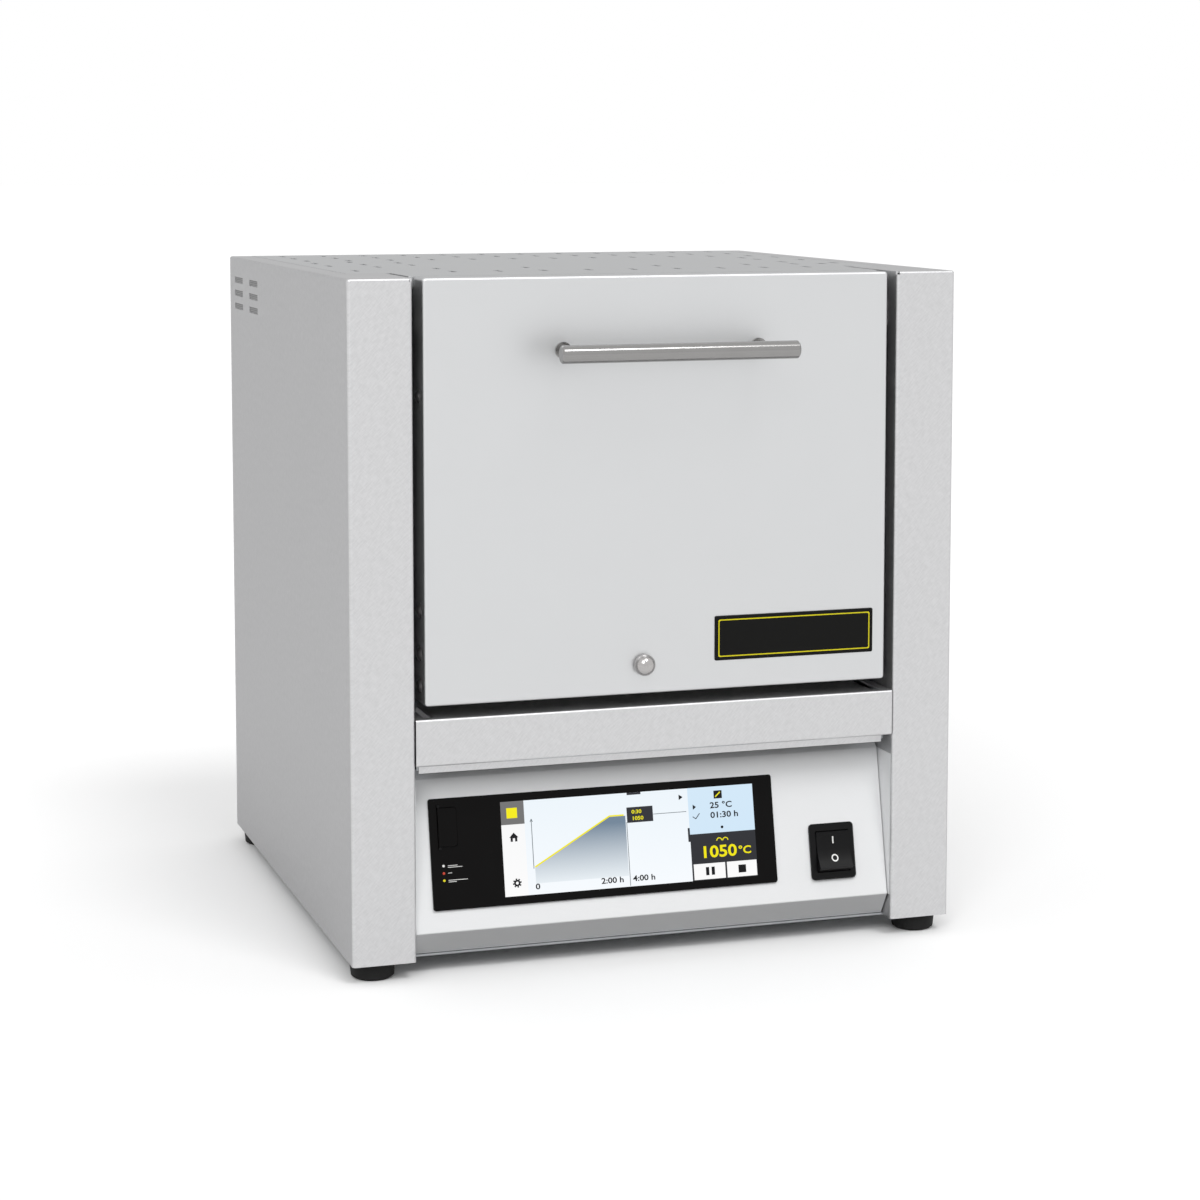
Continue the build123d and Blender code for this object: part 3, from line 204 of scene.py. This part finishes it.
def glowing(name, lowHex, highHex, start, end):
    # the colour runs from one tone to another between two heights, in metres of the frame
    material, tree = emptyMaterial(name)
    where = addNode(tree, "TexCoord").outputs["Object"]
    height = addNode(tree, "SeparateXYZ", links={"Vector": where}).outputs[2]
    ramp = addNode(tree, "MapRange", {"From Min": start, "From Max": end}, {"Value": height}).outputs[0]
    grain = {"Scale": cells(backlit["pixelMm"]), "Detail": backlit["detail"]}
    pixels = addNode(tree, "TexNoise", grain, {"Vector": where}).outputs["Fac"]
    soft = addNode(tree, "Math", {1: backlit["uneven"]}, {0: pixels}, operation="MULTIPLY").outputs[0]
    place = addNode(tree, "Math", links={0: ramp, 1: soft}, operation="ADD", use_clamp=True).outputs[0]
    tones = {6: linear(lowHex), 7: linear(highHex)}
    colour = addNode(tree, "Mix", tones, {0: place}, data_type="RGBA").outputs[2]
    cover = {"Base Color": linear(backlit["glass"]), "Roughness": backlit["rough"],
             "Specular IOR Level": backlit["specular"], "Emission Strength": backlit["strength"]}
    shader = addNode(tree, "BsdfPrincipled", cover, {"Emission Color": colour})
    addNode(tree, "OutputMaterial", links={"Surface": shader.outputs[0]})
    return material


palette = {
    "linen": finish("linenStainless", linenStainless, Specular_Tint=glancing["tint"]),
    "satin": finish("satinStainless", satinStainless, Specular_Tint=glancing["tint"]),
    "bar": finish("drawnStainless", drawnStainless, Anisotropic=0.4),
    "polished": finish("polishedStainless", polishedStainless),
    "zinc": finish("galvanisedSteel", galvanisedSteel),
    "coat": finish("powderCoat", powderCoat, Coat_Weight=0.15, Coat_Roughness=0.3),
    "glass": finish("blackGlass", blackGlass, IOR=1.52, Specular_IOR_Level=0.08),
    "abs": finish("mouldedAbs", mouldedAbs, IOR=1.54, Specular_IOR_Level=0.12),
    "polyamide": finish("greyPolyamide", greyPolyamide, Specular_IOR_Level=0.3),
    "rubber": finish("epdmRubber", epdmRubber, Specular_IOR_Level=0.25),
    "fibre": finish("fibreBoard", fibreBoard),
    "brick": finish("fireBrick", fireBrick),
    "ceramic": finish("castCeramic", castCeramic),
    "aluminium": finish("extrudedAluminium", extrudedAluminium),
    "gauze": finish("wireGauze", wireGauze),
    "plate": finish("blackFilm", blackFilm, Specular_IOR_Level=0.12),
    "yellow": finish("yellowInk", yellowInk, Specular_IOR_Level=0.3),
    "white": finish("whiteInk", whiteInk, Specular_IOR_Level=0.3),
    "red": finish("redInk", redInk, Specular_IOR_Level=0.3),
}
finishes = {
    "linen": ["side_panel_left", "side_panel_right", "sill_ledge"],
    "satin": ["door_shell", "top_cover", "rear_panel", "door_tray", "front_frame"],
    "bar": ["handle_bar", "handle_standoffs", "exhaust_spigot"],
    "polished": ["air_knob", "door_screws", "rear_screws", "door_catches"],
    "coat": ["control_fascia"],
    "glass": ["display_glass", "usb_flap"],
    "abs": ["display_module", "usb_hinge", "switch_housing", "switch_rocker", "mains_inlet", "power_relay",
            "door_contact"],
    "polyamide": ["controller_housing", "thermocouple_head", "power_supply", "terminal_block"],
    "rubber": ["rubber_feet"],
    "fibre": ["floor_insulation", "roof_insulation", "side_insulation_left", "side_insulation_right",
              "rear_insulation", "door_insulation"],
    "brick": ["collar_brick"],
    "ceramic": ["hearth_plate", "heating_plate_left", "heating_plate_right", "terminal_sleeves",
                "thermocouple_sheath", "exhaust_liner"],
    "aluminium": ["heat_sink"],
}
finishOf = {node: key for key, group in finishes.items() for node in group}
for name, node in nodes.items():
    node.data.materials.clear()
    node.data.materials.append(palette[finishOf.get(name, "zinc")])
print("materials on", len(nodes), "CAD nodes")


# Helpers for pieces
def meshPiece(name, body, verts, faces, material):
    mesh = bpy.data.meshes.new(name)
    mesh.from_pydata([tuple(v) for v in verts], [], faces)
    mesh.validate()
    shape = bmesh.new()
    shape.from_mesh(mesh)
    bmesh.ops.recalc_face_normals(shape, faces=shape.faces)
    shape.to_mesh(mesh)
    shape.free()
    mesh.shade_flat()
    mesh.materials.append(material)
    piece = bpy.data.objects.new(name, mesh)
    bpy.context.scene.collection.objects.link(piece)
    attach(piece, body)
    return piece


def ringSides(first, second, count):  # quads between two closed rings, told by their first points
    return [[first + i, first + (i + 1) % count, second + (i + 1) % count, second + i] for i in range(count)]


def arcPoints(cx, cy, radius, start, end, steps):
    turns = [math.radians(start + (end - start) * i / steps) for i in range(steps + 1)]
    return [(cx + radius * math.cos(turn), cy + radius * math.sin(turn)) for turn in turns]


def circle(cx, cy, radius, sides=12):
    return arcPoints(cx, cy, radius, 0, 360, sides)[:-1]


def roundedOutline(x0, x1, y0, y1, radius, steps):
    corners = ((x1 - radius, y0 + radius, -90), (x1 - radius, y1 - radius, 0),
               (x0 + radius, y1 - radius, 90), (x0 + radius, y0 + radius, 180))
    return [p for cx, cy, start in corners for p in arcPoints(cx, cy, radius, start, start + 90, steps)]


# The control panel's own plane, from the CAD glass: across (x), up the slope (v) and out of it, in mm
panel = {"tiltDeg": 11.764, "glassMm": 1.2, "left": -141.5, "low": 13.0, "inkMm": 0.06, "inkShare": 0.8}
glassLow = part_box("display_glass")[0]
tiltSin = math.sin(math.radians(panel["tiltDeg"]))
tiltCos = math.cos(math.radians(panel["tiltDeg"]))
panelUp = Vector((0, tiltSin, tiltCos))
panelOut = Vector((0, -tiltCos, tiltSin))
panelOrigin = Vector((glassLow.x, glassLow.y, glassLow.z + panel["glassMm"] * mm * tiltSin))


def onPanel(x, v, lift):
    return (panelOrigin + Vector(((x - panel["left"]) * mm, 0, 0)) + panelUp * ((v - panel["low"]) * mm)
            + panelOut * (lift * mm))


def panelInk(name, outlines, material, layer):
    # flat closed shapes lying on the glass, each layer a little above the one before
    verts, faces = [], []
    top = panel["inkMm"] * layer
    bottom = top - panel["inkMm"] * panel["inkShare"]
    for outline in outlines:
        base = len(verts)
        count = len(outline)
        verts += [onPanel(x, v, lift) for lift in (top, bottom) for x, v in outline]
        faces.append([base + i for i in range(count)])
        faces.append([base + count + i for i in reversed(range(count))])
        faces += ringSides(base + count, base, count)
    meshPiece(name, "housing", verts, faces, material)


def bar(x0, x1, v0, v1):
    return [(x0, v0), (x1, v0), (x1, v1), (x0, v1)]


def stroke(points, width):  # a thin line as quads, one for each run
    quads = []
    for (x0, v0), (x1, v1) in zip(points, points[1:]):
        length = math.hypot(x1 - x0, v1 - v0)
        px = -(v1 - v0) / length * width / 2
        pv = (x1 - x0) / length * width / 2
        quads.append([(x0 + px, v0 + pv), (x0 - px, v0 - pv), (x1 - px, v1 - pv), (x1 + px, v1 + pv)])
    return quads


# Blender's built-in face, made a little wider and heavier
# sink is how far the letters' middle lies under the layer's top, as a share of a layer
figureFace = {"capShare": 0.7, "widthShare": 1.2, "weight": 0.022, "sink": 0.4, "curveSteps": 3}


def panelFigures(name, rows, material, layer):  # each row is text, x, v and letter height
    verts, faces = [], []
    level = panel["inkMm"] * (layer - figureFace["sink"])
    for text, x, v, height in rows:
        curve = bpy.data.curves.new(name, "FONT")
        curve.body = text
        curve.size = height * mm / figureFace["capShare"]
        curve.extrude = panel["inkMm"] * figureFace["sink"] * mm
        curve.offset = figureFace["weight"] * curve.size
        curve.resolution_u = figureFace["curveSteps"]
        holder = bpy.data.objects.new(name, curve)
        glyphs = bpy.data.meshes.new_from_object(holder)
        base = len(verts)
        for point in glyphs.vertices:
            across, up, forward = (c / mm for c in point.co)
            verts.append(onPanel(x + across * figureFace["widthShare"], v + up, level + forward))
        faces += [[base + i for i in polygon.vertices] for polygon in glyphs.polygons]
        bpy.data.objects.remove(holder)
        bpy.data.meshes.remove(glyphs)
    meshPiece(name, "housing", verts, faces, material)


# Picture on the screen, laid on the glass in layers; a plain box is its left, right, low and high
screen = {"left": -96.7, "right": 66.4, "low": 17.9, "high": 74.8, "graphLeft": -82.0, "graphRight": 23.5,
          "shadeLow": 24, "shadeHigh": 58}
zLow = onPanel(0, screen["low"], 0).z
zHigh = onPanel(0, screen["high"], 0).z
zShadeLow = onPanel(0, screen["shadeLow"], 0).z
zShadeHigh = onPanel(0, screen["shadeHigh"], 0).z
glow = {
    "paper": glowing("screenPaper", "F6FAFE", "EDF5FB", zLow, zHigh),
    "white": glowing("screenWhite", "FBFBFB", "F6F7F8", zLow, zHigh),
    "grey": glowing("screenGrey", "6E6E6E", "757575", zLow, zHigh),
    "pale": glowing("screenPaleBlue", "CFE6F8", "D3E8F8", zLow, zHigh),
    "shade": glowing("screenShade", "E9F0F5", "74879A", zShadeLow, zShadeHigh),
    "dark": glowing("screenDark", "2E2F33", "34353A", zLow, zHigh),
    "ink": glowing("screenInk", "141518", "1B1C20", zLow, zHigh),
    "yellow": glowing("screenYellow", "F2E500", "F6EC1C", zLow, zHigh),
    "line": glowing("screenLine", "6E767C", "777F85", zLow, zHigh),
}

# Side bar with the yellow mark on its tab, a house and a gear
sideBar = {
    "tabLow": 60.9, "mark": (-93.1, -86.4, 64.7, 70.9),
    "house": [(-92.2, 53.0), (-89.3, 56.0), (-86.4, 53.0), (-87.2, 53.0), (-87.2, 50.6), (-88.6, 50.6),
              (-88.6, 52.6), (-90.0, 52.6), (-90.0, 50.6), (-91.4, 50.6), (-91.4, 53.0)],
    "gearX": -88.8, "gearV": 25.7, "teeth": 8, "tip": 2.8, "root": 2.0, "eye": 0.9,
}


def screenSideBar():
    left, right = screen["left"], screen["graphLeft"]
    panelInk("screen_sidebar", [bar(left, right, screen["low"], sideBar["tabLow"])], glow["white"], 1)
    panelInk("screen_tab", [bar(left, right, sideBar["tabLow"], screen["high"])], glow["grey"], 1)
    panelInk("screen_tab_mark", [bar(*sideBar["mark"])], glow["yellow"], 2)
    panelInk("screen_house", [sideBar["house"]], glow["ink"], 2)
    step = 180 / sideBar["teeth"]
    gear = []
    for i in range(2 * sideBar["teeth"]):
        radius = sideBar["root"] if i % 2 else sideBar["tip"]
        gear += arcPoints(sideBar["gearX"], sideBar["gearV"], radius, i * step, i * step + step, 2)
    panelInk("screen_gear", [gear], glow["ink"], 2)
    eye = circle(sideBar["gearX"], sideBar["gearV"], sideBar["eye"])
    panelInk("screen_gear_eye", [eye], glow["white"], 3)


# Heating curve over its shaded area, with axis, dark labels and the times along the foot
graph = {
    "shade": [(-77.0, 24.5), (-17.7, 24.5), (-17.7, 61.0), (-28.0, 61.0), (-77.0, 34.0)],
    "ramp": [(-77.0, 34.4), (-28.0, 61.5), (-18.7, 61.5)], "rampWide": 0.9,
    "axis": [(-77.8, 33.5), (-77.8, 63.0)], "axisWide": 0.45,
    "now": [(-17.0, 18.4), (-17.0, 57.0)], "later": [(0.4, 60.7), (22.0, 60.7)],
    "arrow": [(-78.6, 61.6), (-77.8, 63.4), (-77.0, 61.6)], "lineWide": 0.4,
    "clip": (-16.0, -7.0, 73.4, screen["high"]), "side": (22.2, screen["graphRight"], 42.0, 50.5),
    "label": (-16.7, 0.2, 56.5, 65.9),
    "labelRows": [("1050", -13.6, 58.0, 2.2), ("0:30", -13.6, 62.0, 2.2)],
    "times": [("0", -77.4, 21.0, 3.4), ("2:00 h", -35.6, 21.0, 3.4), ("4:00 h", -15.2, 21.0, 3.4)],
    "play": [(17.6, 68.0), (17.6, 71.4), (20.2, 69.7)],
}


def screenGraph():
    paper = bar(screen["graphLeft"], screen["graphRight"], screen["low"], screen["high"])
    panelInk("screen_paper", [paper], glow["paper"], 1)
    panelInk("screen_shade", [graph["shade"]], glow["shade"], 2)
    panelInk("screen_ramp", stroke(graph["ramp"], graph["rampWide"]), glow["yellow"], 3)
    lines = stroke(graph["axis"], graph["axisWide"])
    for key in ("now", "later", "arrow"):
        lines += stroke(graph[key], graph["lineWide"])
    panelInk("screen_lines", lines, glow["line"], 3)
    tabs = [bar(*graph[key]) for key in ("clip", "side", "label")]
    panelInk("screen_tabs", tabs, glow["dark"], 3)
    panelFigures("screen_times", graph["times"], glow["ink"], 3)
    panelFigures("screen_label_text", graph["labelRows"], glow["yellow"], 4)
    panelInk("screen_play", [graph["play"]], glow["ink"], 3)


# Pale block with the state of the run
state = {
    "low": 46.4, "flag": (40.6, 46.0, 67.3, 72.2), "slash": [(41.6, 68.4), (44.8, 71.2)], "slashWide": 0.7,
    "rows": [("25 \u00b0C", 37.6, 61.6, 3.6), ("01:30 h", 37.6, 55.6, 3.6)],
    "pointer": [(26.4, 61.4), (26.4, 64.6), (28.6, 63.0)],
    "tick": [(26.0, 57.2), (28.0, 55.8), (30.6, 59.0)], "tickWide": 0.5,
    "dotX": 44.8, "dotV": 49.6, "dotRadius": 0.9,
}


def screenState():
    block = bar(screen["graphRight"], screen["right"], state["low"], screen["high"])
    panelInk("screen_state", [block], glow["pale"], 1)
    panelInk("screen_flag", [bar(*state["flag"])], glow["ink"], 2)
    panelInk("screen_flag_mark", stroke(state["slash"], state["slashWide"]), glow["yellow"], 3)
    panelFigures("screen_state_text", state["rows"], glow["ink"], 2)
    marks = [state["pointer"], circle(state["dotX"], state["dotV"], state["dotRadius"])]
    marks += stroke(state["tick"], state["tickWide"])
    panelInk("screen_state_marks", marks, glow["ink"], 2)


# Dark block with the temperature and the buttons under it
reading = {
    "low": 28.7, "rows": [("1050", 29.6, 31.6, 7.0), ("\u00b0C", 54.4, 32.4, 4.6)],
    "waveX": (42.4, 46.4), "waveV": 41.4, "waveRadius": 1.7, "waveSteps": 8, "waveWide": 0.6,
    "buttons": ((24.6, 45.2, 18.4, 28.0), (46.4, 66.0, 18.4, 28.0)),
    "keys": ((32.4, 34.5, 20.8, 25.8), (36.1, 38.2, 20.8, 25.8), (53.8, 58.8, 20.8, 25.6)),
}


def screenValue():
    left, right = screen["graphRight"], screen["right"]
    panelInk("screen_value", [bar(left, right, reading["low"], state["low"])], glow["dark"], 1)
    panelInk("screen_buttons_back", [bar(left, right, screen["low"], reading["low"])], glow["dark"], 1)
    panelInk("screen_buttons", [bar(*button) for button in reading["buttons"]], glow["white"], 2)
    panelInk("screen_keys", [bar(*key) for key in reading["keys"]], glow["ink"], 3)
    panelFigures("screen_value_text", reading["rows"], glow["yellow"], 2)
    waves = []
    for x in reading["waveX"]:
        arc = arcPoints(x, reading["waveV"], reading["waveRadius"], 0, 180, reading["waveSteps"])
        waves += stroke(arc, reading["waveWide"])
    panelInk("screen_value_mark", waves, glow["yellow"], 2)


screenGraph()
screenSideBar()
screenState()
screenValue()

# Status marks on the black margin of the glass, as plain dots and lines
status = {"dotX": -134.0, "dotRadius": 0.8, "dots": ((39.4, "white"), (35.0, "red"), (30.7, "yellow")),
          "lineX": -131.4, "lineWide": 0.35,
          "lines": ((39.4, 6.0), (38.4, 9.0), (35.0, 2.4), (30.7, 12.0), (29.7, 5.0))}


def statusMarks():
    for v, ink in status["dots"]:
        spot = circle(status["dotX"], v, status["dotRadius"])
        panelInk("status_dot_" + ink, [spot], palette[ink], 1)
    lines = []
    for v, length in status["lines"]:
        lines += stroke([(status["lineX"], v), (status["lineX"] + length, v)], status["lineWide"])
    panelInk("status_lines", lines, palette["white"], 1)


statusMarks()
print("screen and panel marks done")


# On and off marks, laid on the rocker's curved face
rockerMarks = {"x": 117.1, "barV": 36.4, "barHalfWide": 0.45, "barRows": (-2.2, -1.1, 0, 1.1, 2.2),
               "ringV": 25.2, "ringOuter": 2.3, "ringInner": 1.5, "ringSides": 28,
               "fromMm": 20, "liftMm": 0.04, "inkMm": 0.05}


def dropOn(nodeName, places, lift):  # each place carried straight in until it meets the node
    data = nodes[nodeName].data
    tree = BVHTree.FromPolygons([p.co for p in data.vertices], [tuple(p.vertices) for p in data.polygons])
    hits = [tree.ray_cast(onPanel(x, v, rockerMarks["fromMm"]), -panelOut) for x, v in places]
    return [hit[0] + panelOut * (lift * mm) for hit in hits]


def rockerInk():
    cx = rockerMarks["x"]
    bars = [(cx + side * rockerMarks["barHalfWide"], rockerMarks["barV"] + up)
            for up in rockerMarks["barRows"] for side in (-1, 1)]
    count = rockerMarks["ringSides"]
    rings = [p for key in ("ringOuter", "ringInner")
             for p in circle(cx, rockerMarks["ringV"], rockerMarks[key], count)]
    verts = dropOn("switch_rocker", bars + rings, rockerMarks["liftMm"])
    faces = [[2 * i, 2 * i + 1, 2 * i + 3, 2 * i + 2] for i in range(len(rockerMarks["barRows"]) - 1)]
    faces += ringSides(len(bars), len(bars) + count, count)
    piece = meshPiece("rocker_marks", "rocker", verts, faces, palette["white"])
    solid = piece.modifiers.new("ink", "SOLIDIFY")
    solid.thickness = rockerMarks["inkMm"] * mm
    solid.offset = 1.0


rockerInk()


# Places below are in mm of the shell, from its front plane and from its underside, which the feet hold up
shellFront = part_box("side_panel_left")[0].y
footMm = 11.0


def fromShell(x, y, z):
    return Vector((x * mm, y * mm + shellFront, (z + footMm) * mm))


# Bare black plate on the door with a thin yellow line inside its edge
plate = {"left": 34.7, "right": 139.0, "low": 171.8, "high": 199.3, "thick": 0.8, "edgeShare": 0.6,
         "bevel": 0.35, "corner": 1.0, "cornerSteps": 5, "lineInset": 2.2, "line": 0.7, "lineLift": 0.03}
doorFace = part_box("door_shell")[0].y


def plateRing(inset, out):  # the plate's outline, drawn in by inset and standing out from the door
    outline = roundedOutline(plate["left"] + inset, plate["right"] - inset, plate["low"] + inset,
                             plate["high"] - inset, plate["corner"], plate["cornerSteps"])
    return [Vector((x * mm, doorFace - out * mm, (z + footMm) * mm)) for x, z in outline]


def barePlate():
    back = plateRing(0, 0)
    edge = plateRing(0, plate["thick"] * plate["edgeShare"])
    front = plateRing(plate["bevel"], plate["thick"])
    count = len(back)
    faces = [list(reversed(range(count))), [2 * count + i for i in range(count)]]
    faces += ringSides(0, count, count) + ringSides(count, 2 * count, count)
    meshPiece("bare_plate", "door", back + edge + front, faces, palette["plate"])
    out = plate["thick"] + plate["lineLift"]
    line = plateRing(plate["lineInset"], out) + plateRing(plate["lineInset"] + plate["line"], out)
    meshPiece("plate_line", "door", line, ringSides(0, count, count), palette["yellow"])


barePlate()


def boxesPiece(name, boxes, material):  # each box is its low and its high corner
    verts, faces = [], []
    sides = ((0, 1, 3, 2), (4, 6, 7, 5), (0, 4, 5, 1), (2, 3, 7, 6), (0, 2, 6, 4), (1, 5, 7, 3))
    for low, high in boxes:
        faces += [[len(verts) + i for i in side] for side in sides]
        verts += [fromShell(x, y, z) for x in (low[0], high[0]) for y in (low[1], high[1])
                  for z in (low[2], high[2])]
    meshPiece(name, "housing", verts, faces, material)


# Gauze behind the slots of each side, held just inside the sheet
gauze = {"face": 192.5, "behind": 0.5, "thick": 0.3, "columns": (289.5, 343.0), "top": 392.5, "pitch": 9.1,
         "rows": 3, "length": 30.0, "height": 4.0, "slack": 0.1}


def ventGauze(name, sign):
    halfLong = gauze["length"] / 2 - gauze["slack"]
    halfHigh = gauze["height"] / 2 - gauze["slack"]
    x0 = sign * (gauze["face"] - gauze["behind"])
    x1 = x0 - sign * gauze["thick"]
    boxes = []
    for column in gauze["columns"]:
        for row in range(gauze["rows"]):
            z = gauze["top"] - row * gauze["pitch"]
            low = (min(x0, x1), column - halfLong, z - halfHigh)
            high = (max(x0, x1), column + halfLong, z + halfHigh)
            boxes.append((low, high))
    boxesPiece(name, boxes, palette["gauze"])


ventGauze("vent_gauze_left", -1)
ventGauze("vent_gauze_right", 1)

# Strip under the ledge, which closes the view of the hinge brackets
strip = {"half": 149.5, "front": 8.4, "thick": 0.8, "low": 112.4, "high": 117.2}


def ledgeStrip():
    low = (-strip["half"], strip["front"], strip["low"])
    high = (strip["half"], strip["front"] + strip["thick"], strip["high"])
    boxesPiece("ledge_strip", [(low, high)], palette["linen"])


ledgeStrip()

# Coated end cheeks of the fascia
cheek = {"inner": 153.1, "outer": 153.4, "front": 2.2, "creaseY": 3.8, "creaseZ": 15.7, "topY": 22.5,
         "topZ": 105.5, "overlap": 1.5}


def fasciaCheek(name, sign):
    outline = [(cheek["front"], cheek["creaseZ"]), (cheek["creaseY"] + cheek["overlap"], cheek["creaseZ"]),
               (cheek["topY"] + cheek["overlap"], cheek["topZ"]), (cheek["front"], cheek["topZ"])]
    verts = [fromShell(sign * x, y, z) for x in (cheek["inner"], cheek["outer"]) for y, z in outline]
    faces = [(0, 1, 2, 3), (7, 6, 5, 4), (0, 4, 5, 1), (1, 5, 6, 2), (2, 6, 7, 3), (3, 7, 4, 0)]
    meshPiece(name, "housing", verts, faces, palette["coat"])


fasciaCheek("fascia_cheek_left", -1)
fasciaCheek("fascia_cheek_right", 1)
print("door plate, gauze and fascia trim done")


# Floor, light and camera
stage = {"floorHex": "EEEEEE", "bounceHex": "3C3C3C", "worldFill": 0.84, "halfM": 40.0, "lampAwayM": 4}


def seenDirectly(tree):  # 1 for camera, glossy and transmitted rays, so metal and glass show the same white
    rays = addNode(tree, "LightPath")
    seen = addNode(tree, "Math", links={0: rays.outputs["Is Camera Ray"], 1: rays.outputs["Is Glossy Ray"]},
                   operation="MAXIMUM")
    return addNode(tree, "Math", links={0: seen.outputs[0], 1: rays.outputs["Is Transmission Ray"]},
                   operation="MAXIMUM").outputs[0]


def paleFloor():
    half = stage["halfM"]
    mesh = bpy.data.meshes.new("floor")
    corners = [(-half, -half, 0), (half, -half, 0), (half, half, 0), (-half, half, 0)]
    mesh.from_pydata(corners, [], [(0, 1, 2, 3)])
    floor = bpy.data.objects.new("floor", mesh)
    bpy.context.scene.collection.objects.link(floor)
    material, tree = emptyMaterial("paleFloor")
    tones = {6: linear(stage["bounceHex"]), 7: linear(stage["floorHex"])}
    tone = addNode(tree, "Mix", tones, {0: seenDirectly(tree)}, data_type="RGBA")
    matt = addNode(tree, "BsdfDiffuse", links={"Color": tone.outputs[2]})
    addNode(tree, "OutputMaterial", links={"Surface": matt.outputs[0]})
    mesh.materials.append(material)


def whiteWorld():
    world = bpy.data.worlds.new("studio")
    bpy.context.scene.world = world
    world.use_nodes = True
    tree = world.node_tree
    tree.nodes.clear()
    fill = {"To Min": stage["worldFill"], "To Max": 1.0}
    level = addNode(tree, "MapRange", fill, {"Value": seenDirectly(tree)})
    sky = addNode(tree, "Background", {"Color": (1, 1, 1, 1)}, {"Strength": level.outputs[0]})
    addNode(tree, "OutputWorld", links={"Surface": sky.outputs[0]})


lamps = {
    "left": {"azimuth": -30, "elevation": 38, "spread": 26, "strength": 0.85},
    "right": {"azimuth": 18, "elevation": 57, "spread": 20, "strength": 0.9},
}


def softLamps():  # two broad suns, azimuth counted from straight in front and to the right
    for name, lamp in lamps.items():
        light = bpy.data.lights.new(name, "SUN")
        light.angle = math.radians(lamp["spread"])
        light.energy = lamp["strength"]
        holder = bpy.data.objects.new(name, light)
        a, e = math.radians(lamp["azimuth"]), math.radians(lamp["elevation"])
        towards = Vector((math.sin(a) * math.cos(e), -math.cos(a) * math.cos(e), math.sin(e)))
        holder.location = towards * stage["lampAwayM"]
        holder.rotation_mode = "QUATERNION"
        holder.rotation_quaternion = (-towards).to_track_quat("-Z", "Y")
        bpy.context.scene.collection.objects.link(holder)


# The photographer's place; the shift down keeps the furnace where the photo has it
photoCamera = {"place": (-543.6, -1569.3, 480.4), "azimuth": 17.832, "elevation": 5.50,
               "lens": 83.11, "sensor": 36.0, "shiftY": -0.15, "near": 0.1, "far": 100}


def photographAngle():
    data = bpy.data.cameras.new("photo")
    data.lens = photoCamera["lens"]
    data.sensor_width = photoCamera["sensor"]
    data.shift_y = photoCamera["shiftY"]
    data.clip_start = photoCamera["near"]
    data.clip_end = photoCamera["far"]
    camera = bpy.data.objects.new("photo", data)
    bpy.context.scene.collection.objects.link(camera)
    camera.location = fromShell(*photoCamera["place"])
    a, e = math.radians(photoCamera["azimuth"]), math.radians(photoCamera["elevation"])
    forward = Vector((math.sin(a) * math.cos(e), math.cos(a) * math.cos(e), -math.sin(e)))
    camera.rotation_mode = "QUATERNION"
    camera.rotation_quaternion = forward.to_track_quat("-Z", "Y")
    bpy.context.scene.camera = camera


paleFloor()
whiteWorld()
softLamps()
photographAngle()
bpy.context.scene.view_settings.view_transform = "Standard"
print("stage, lamps and camera done")
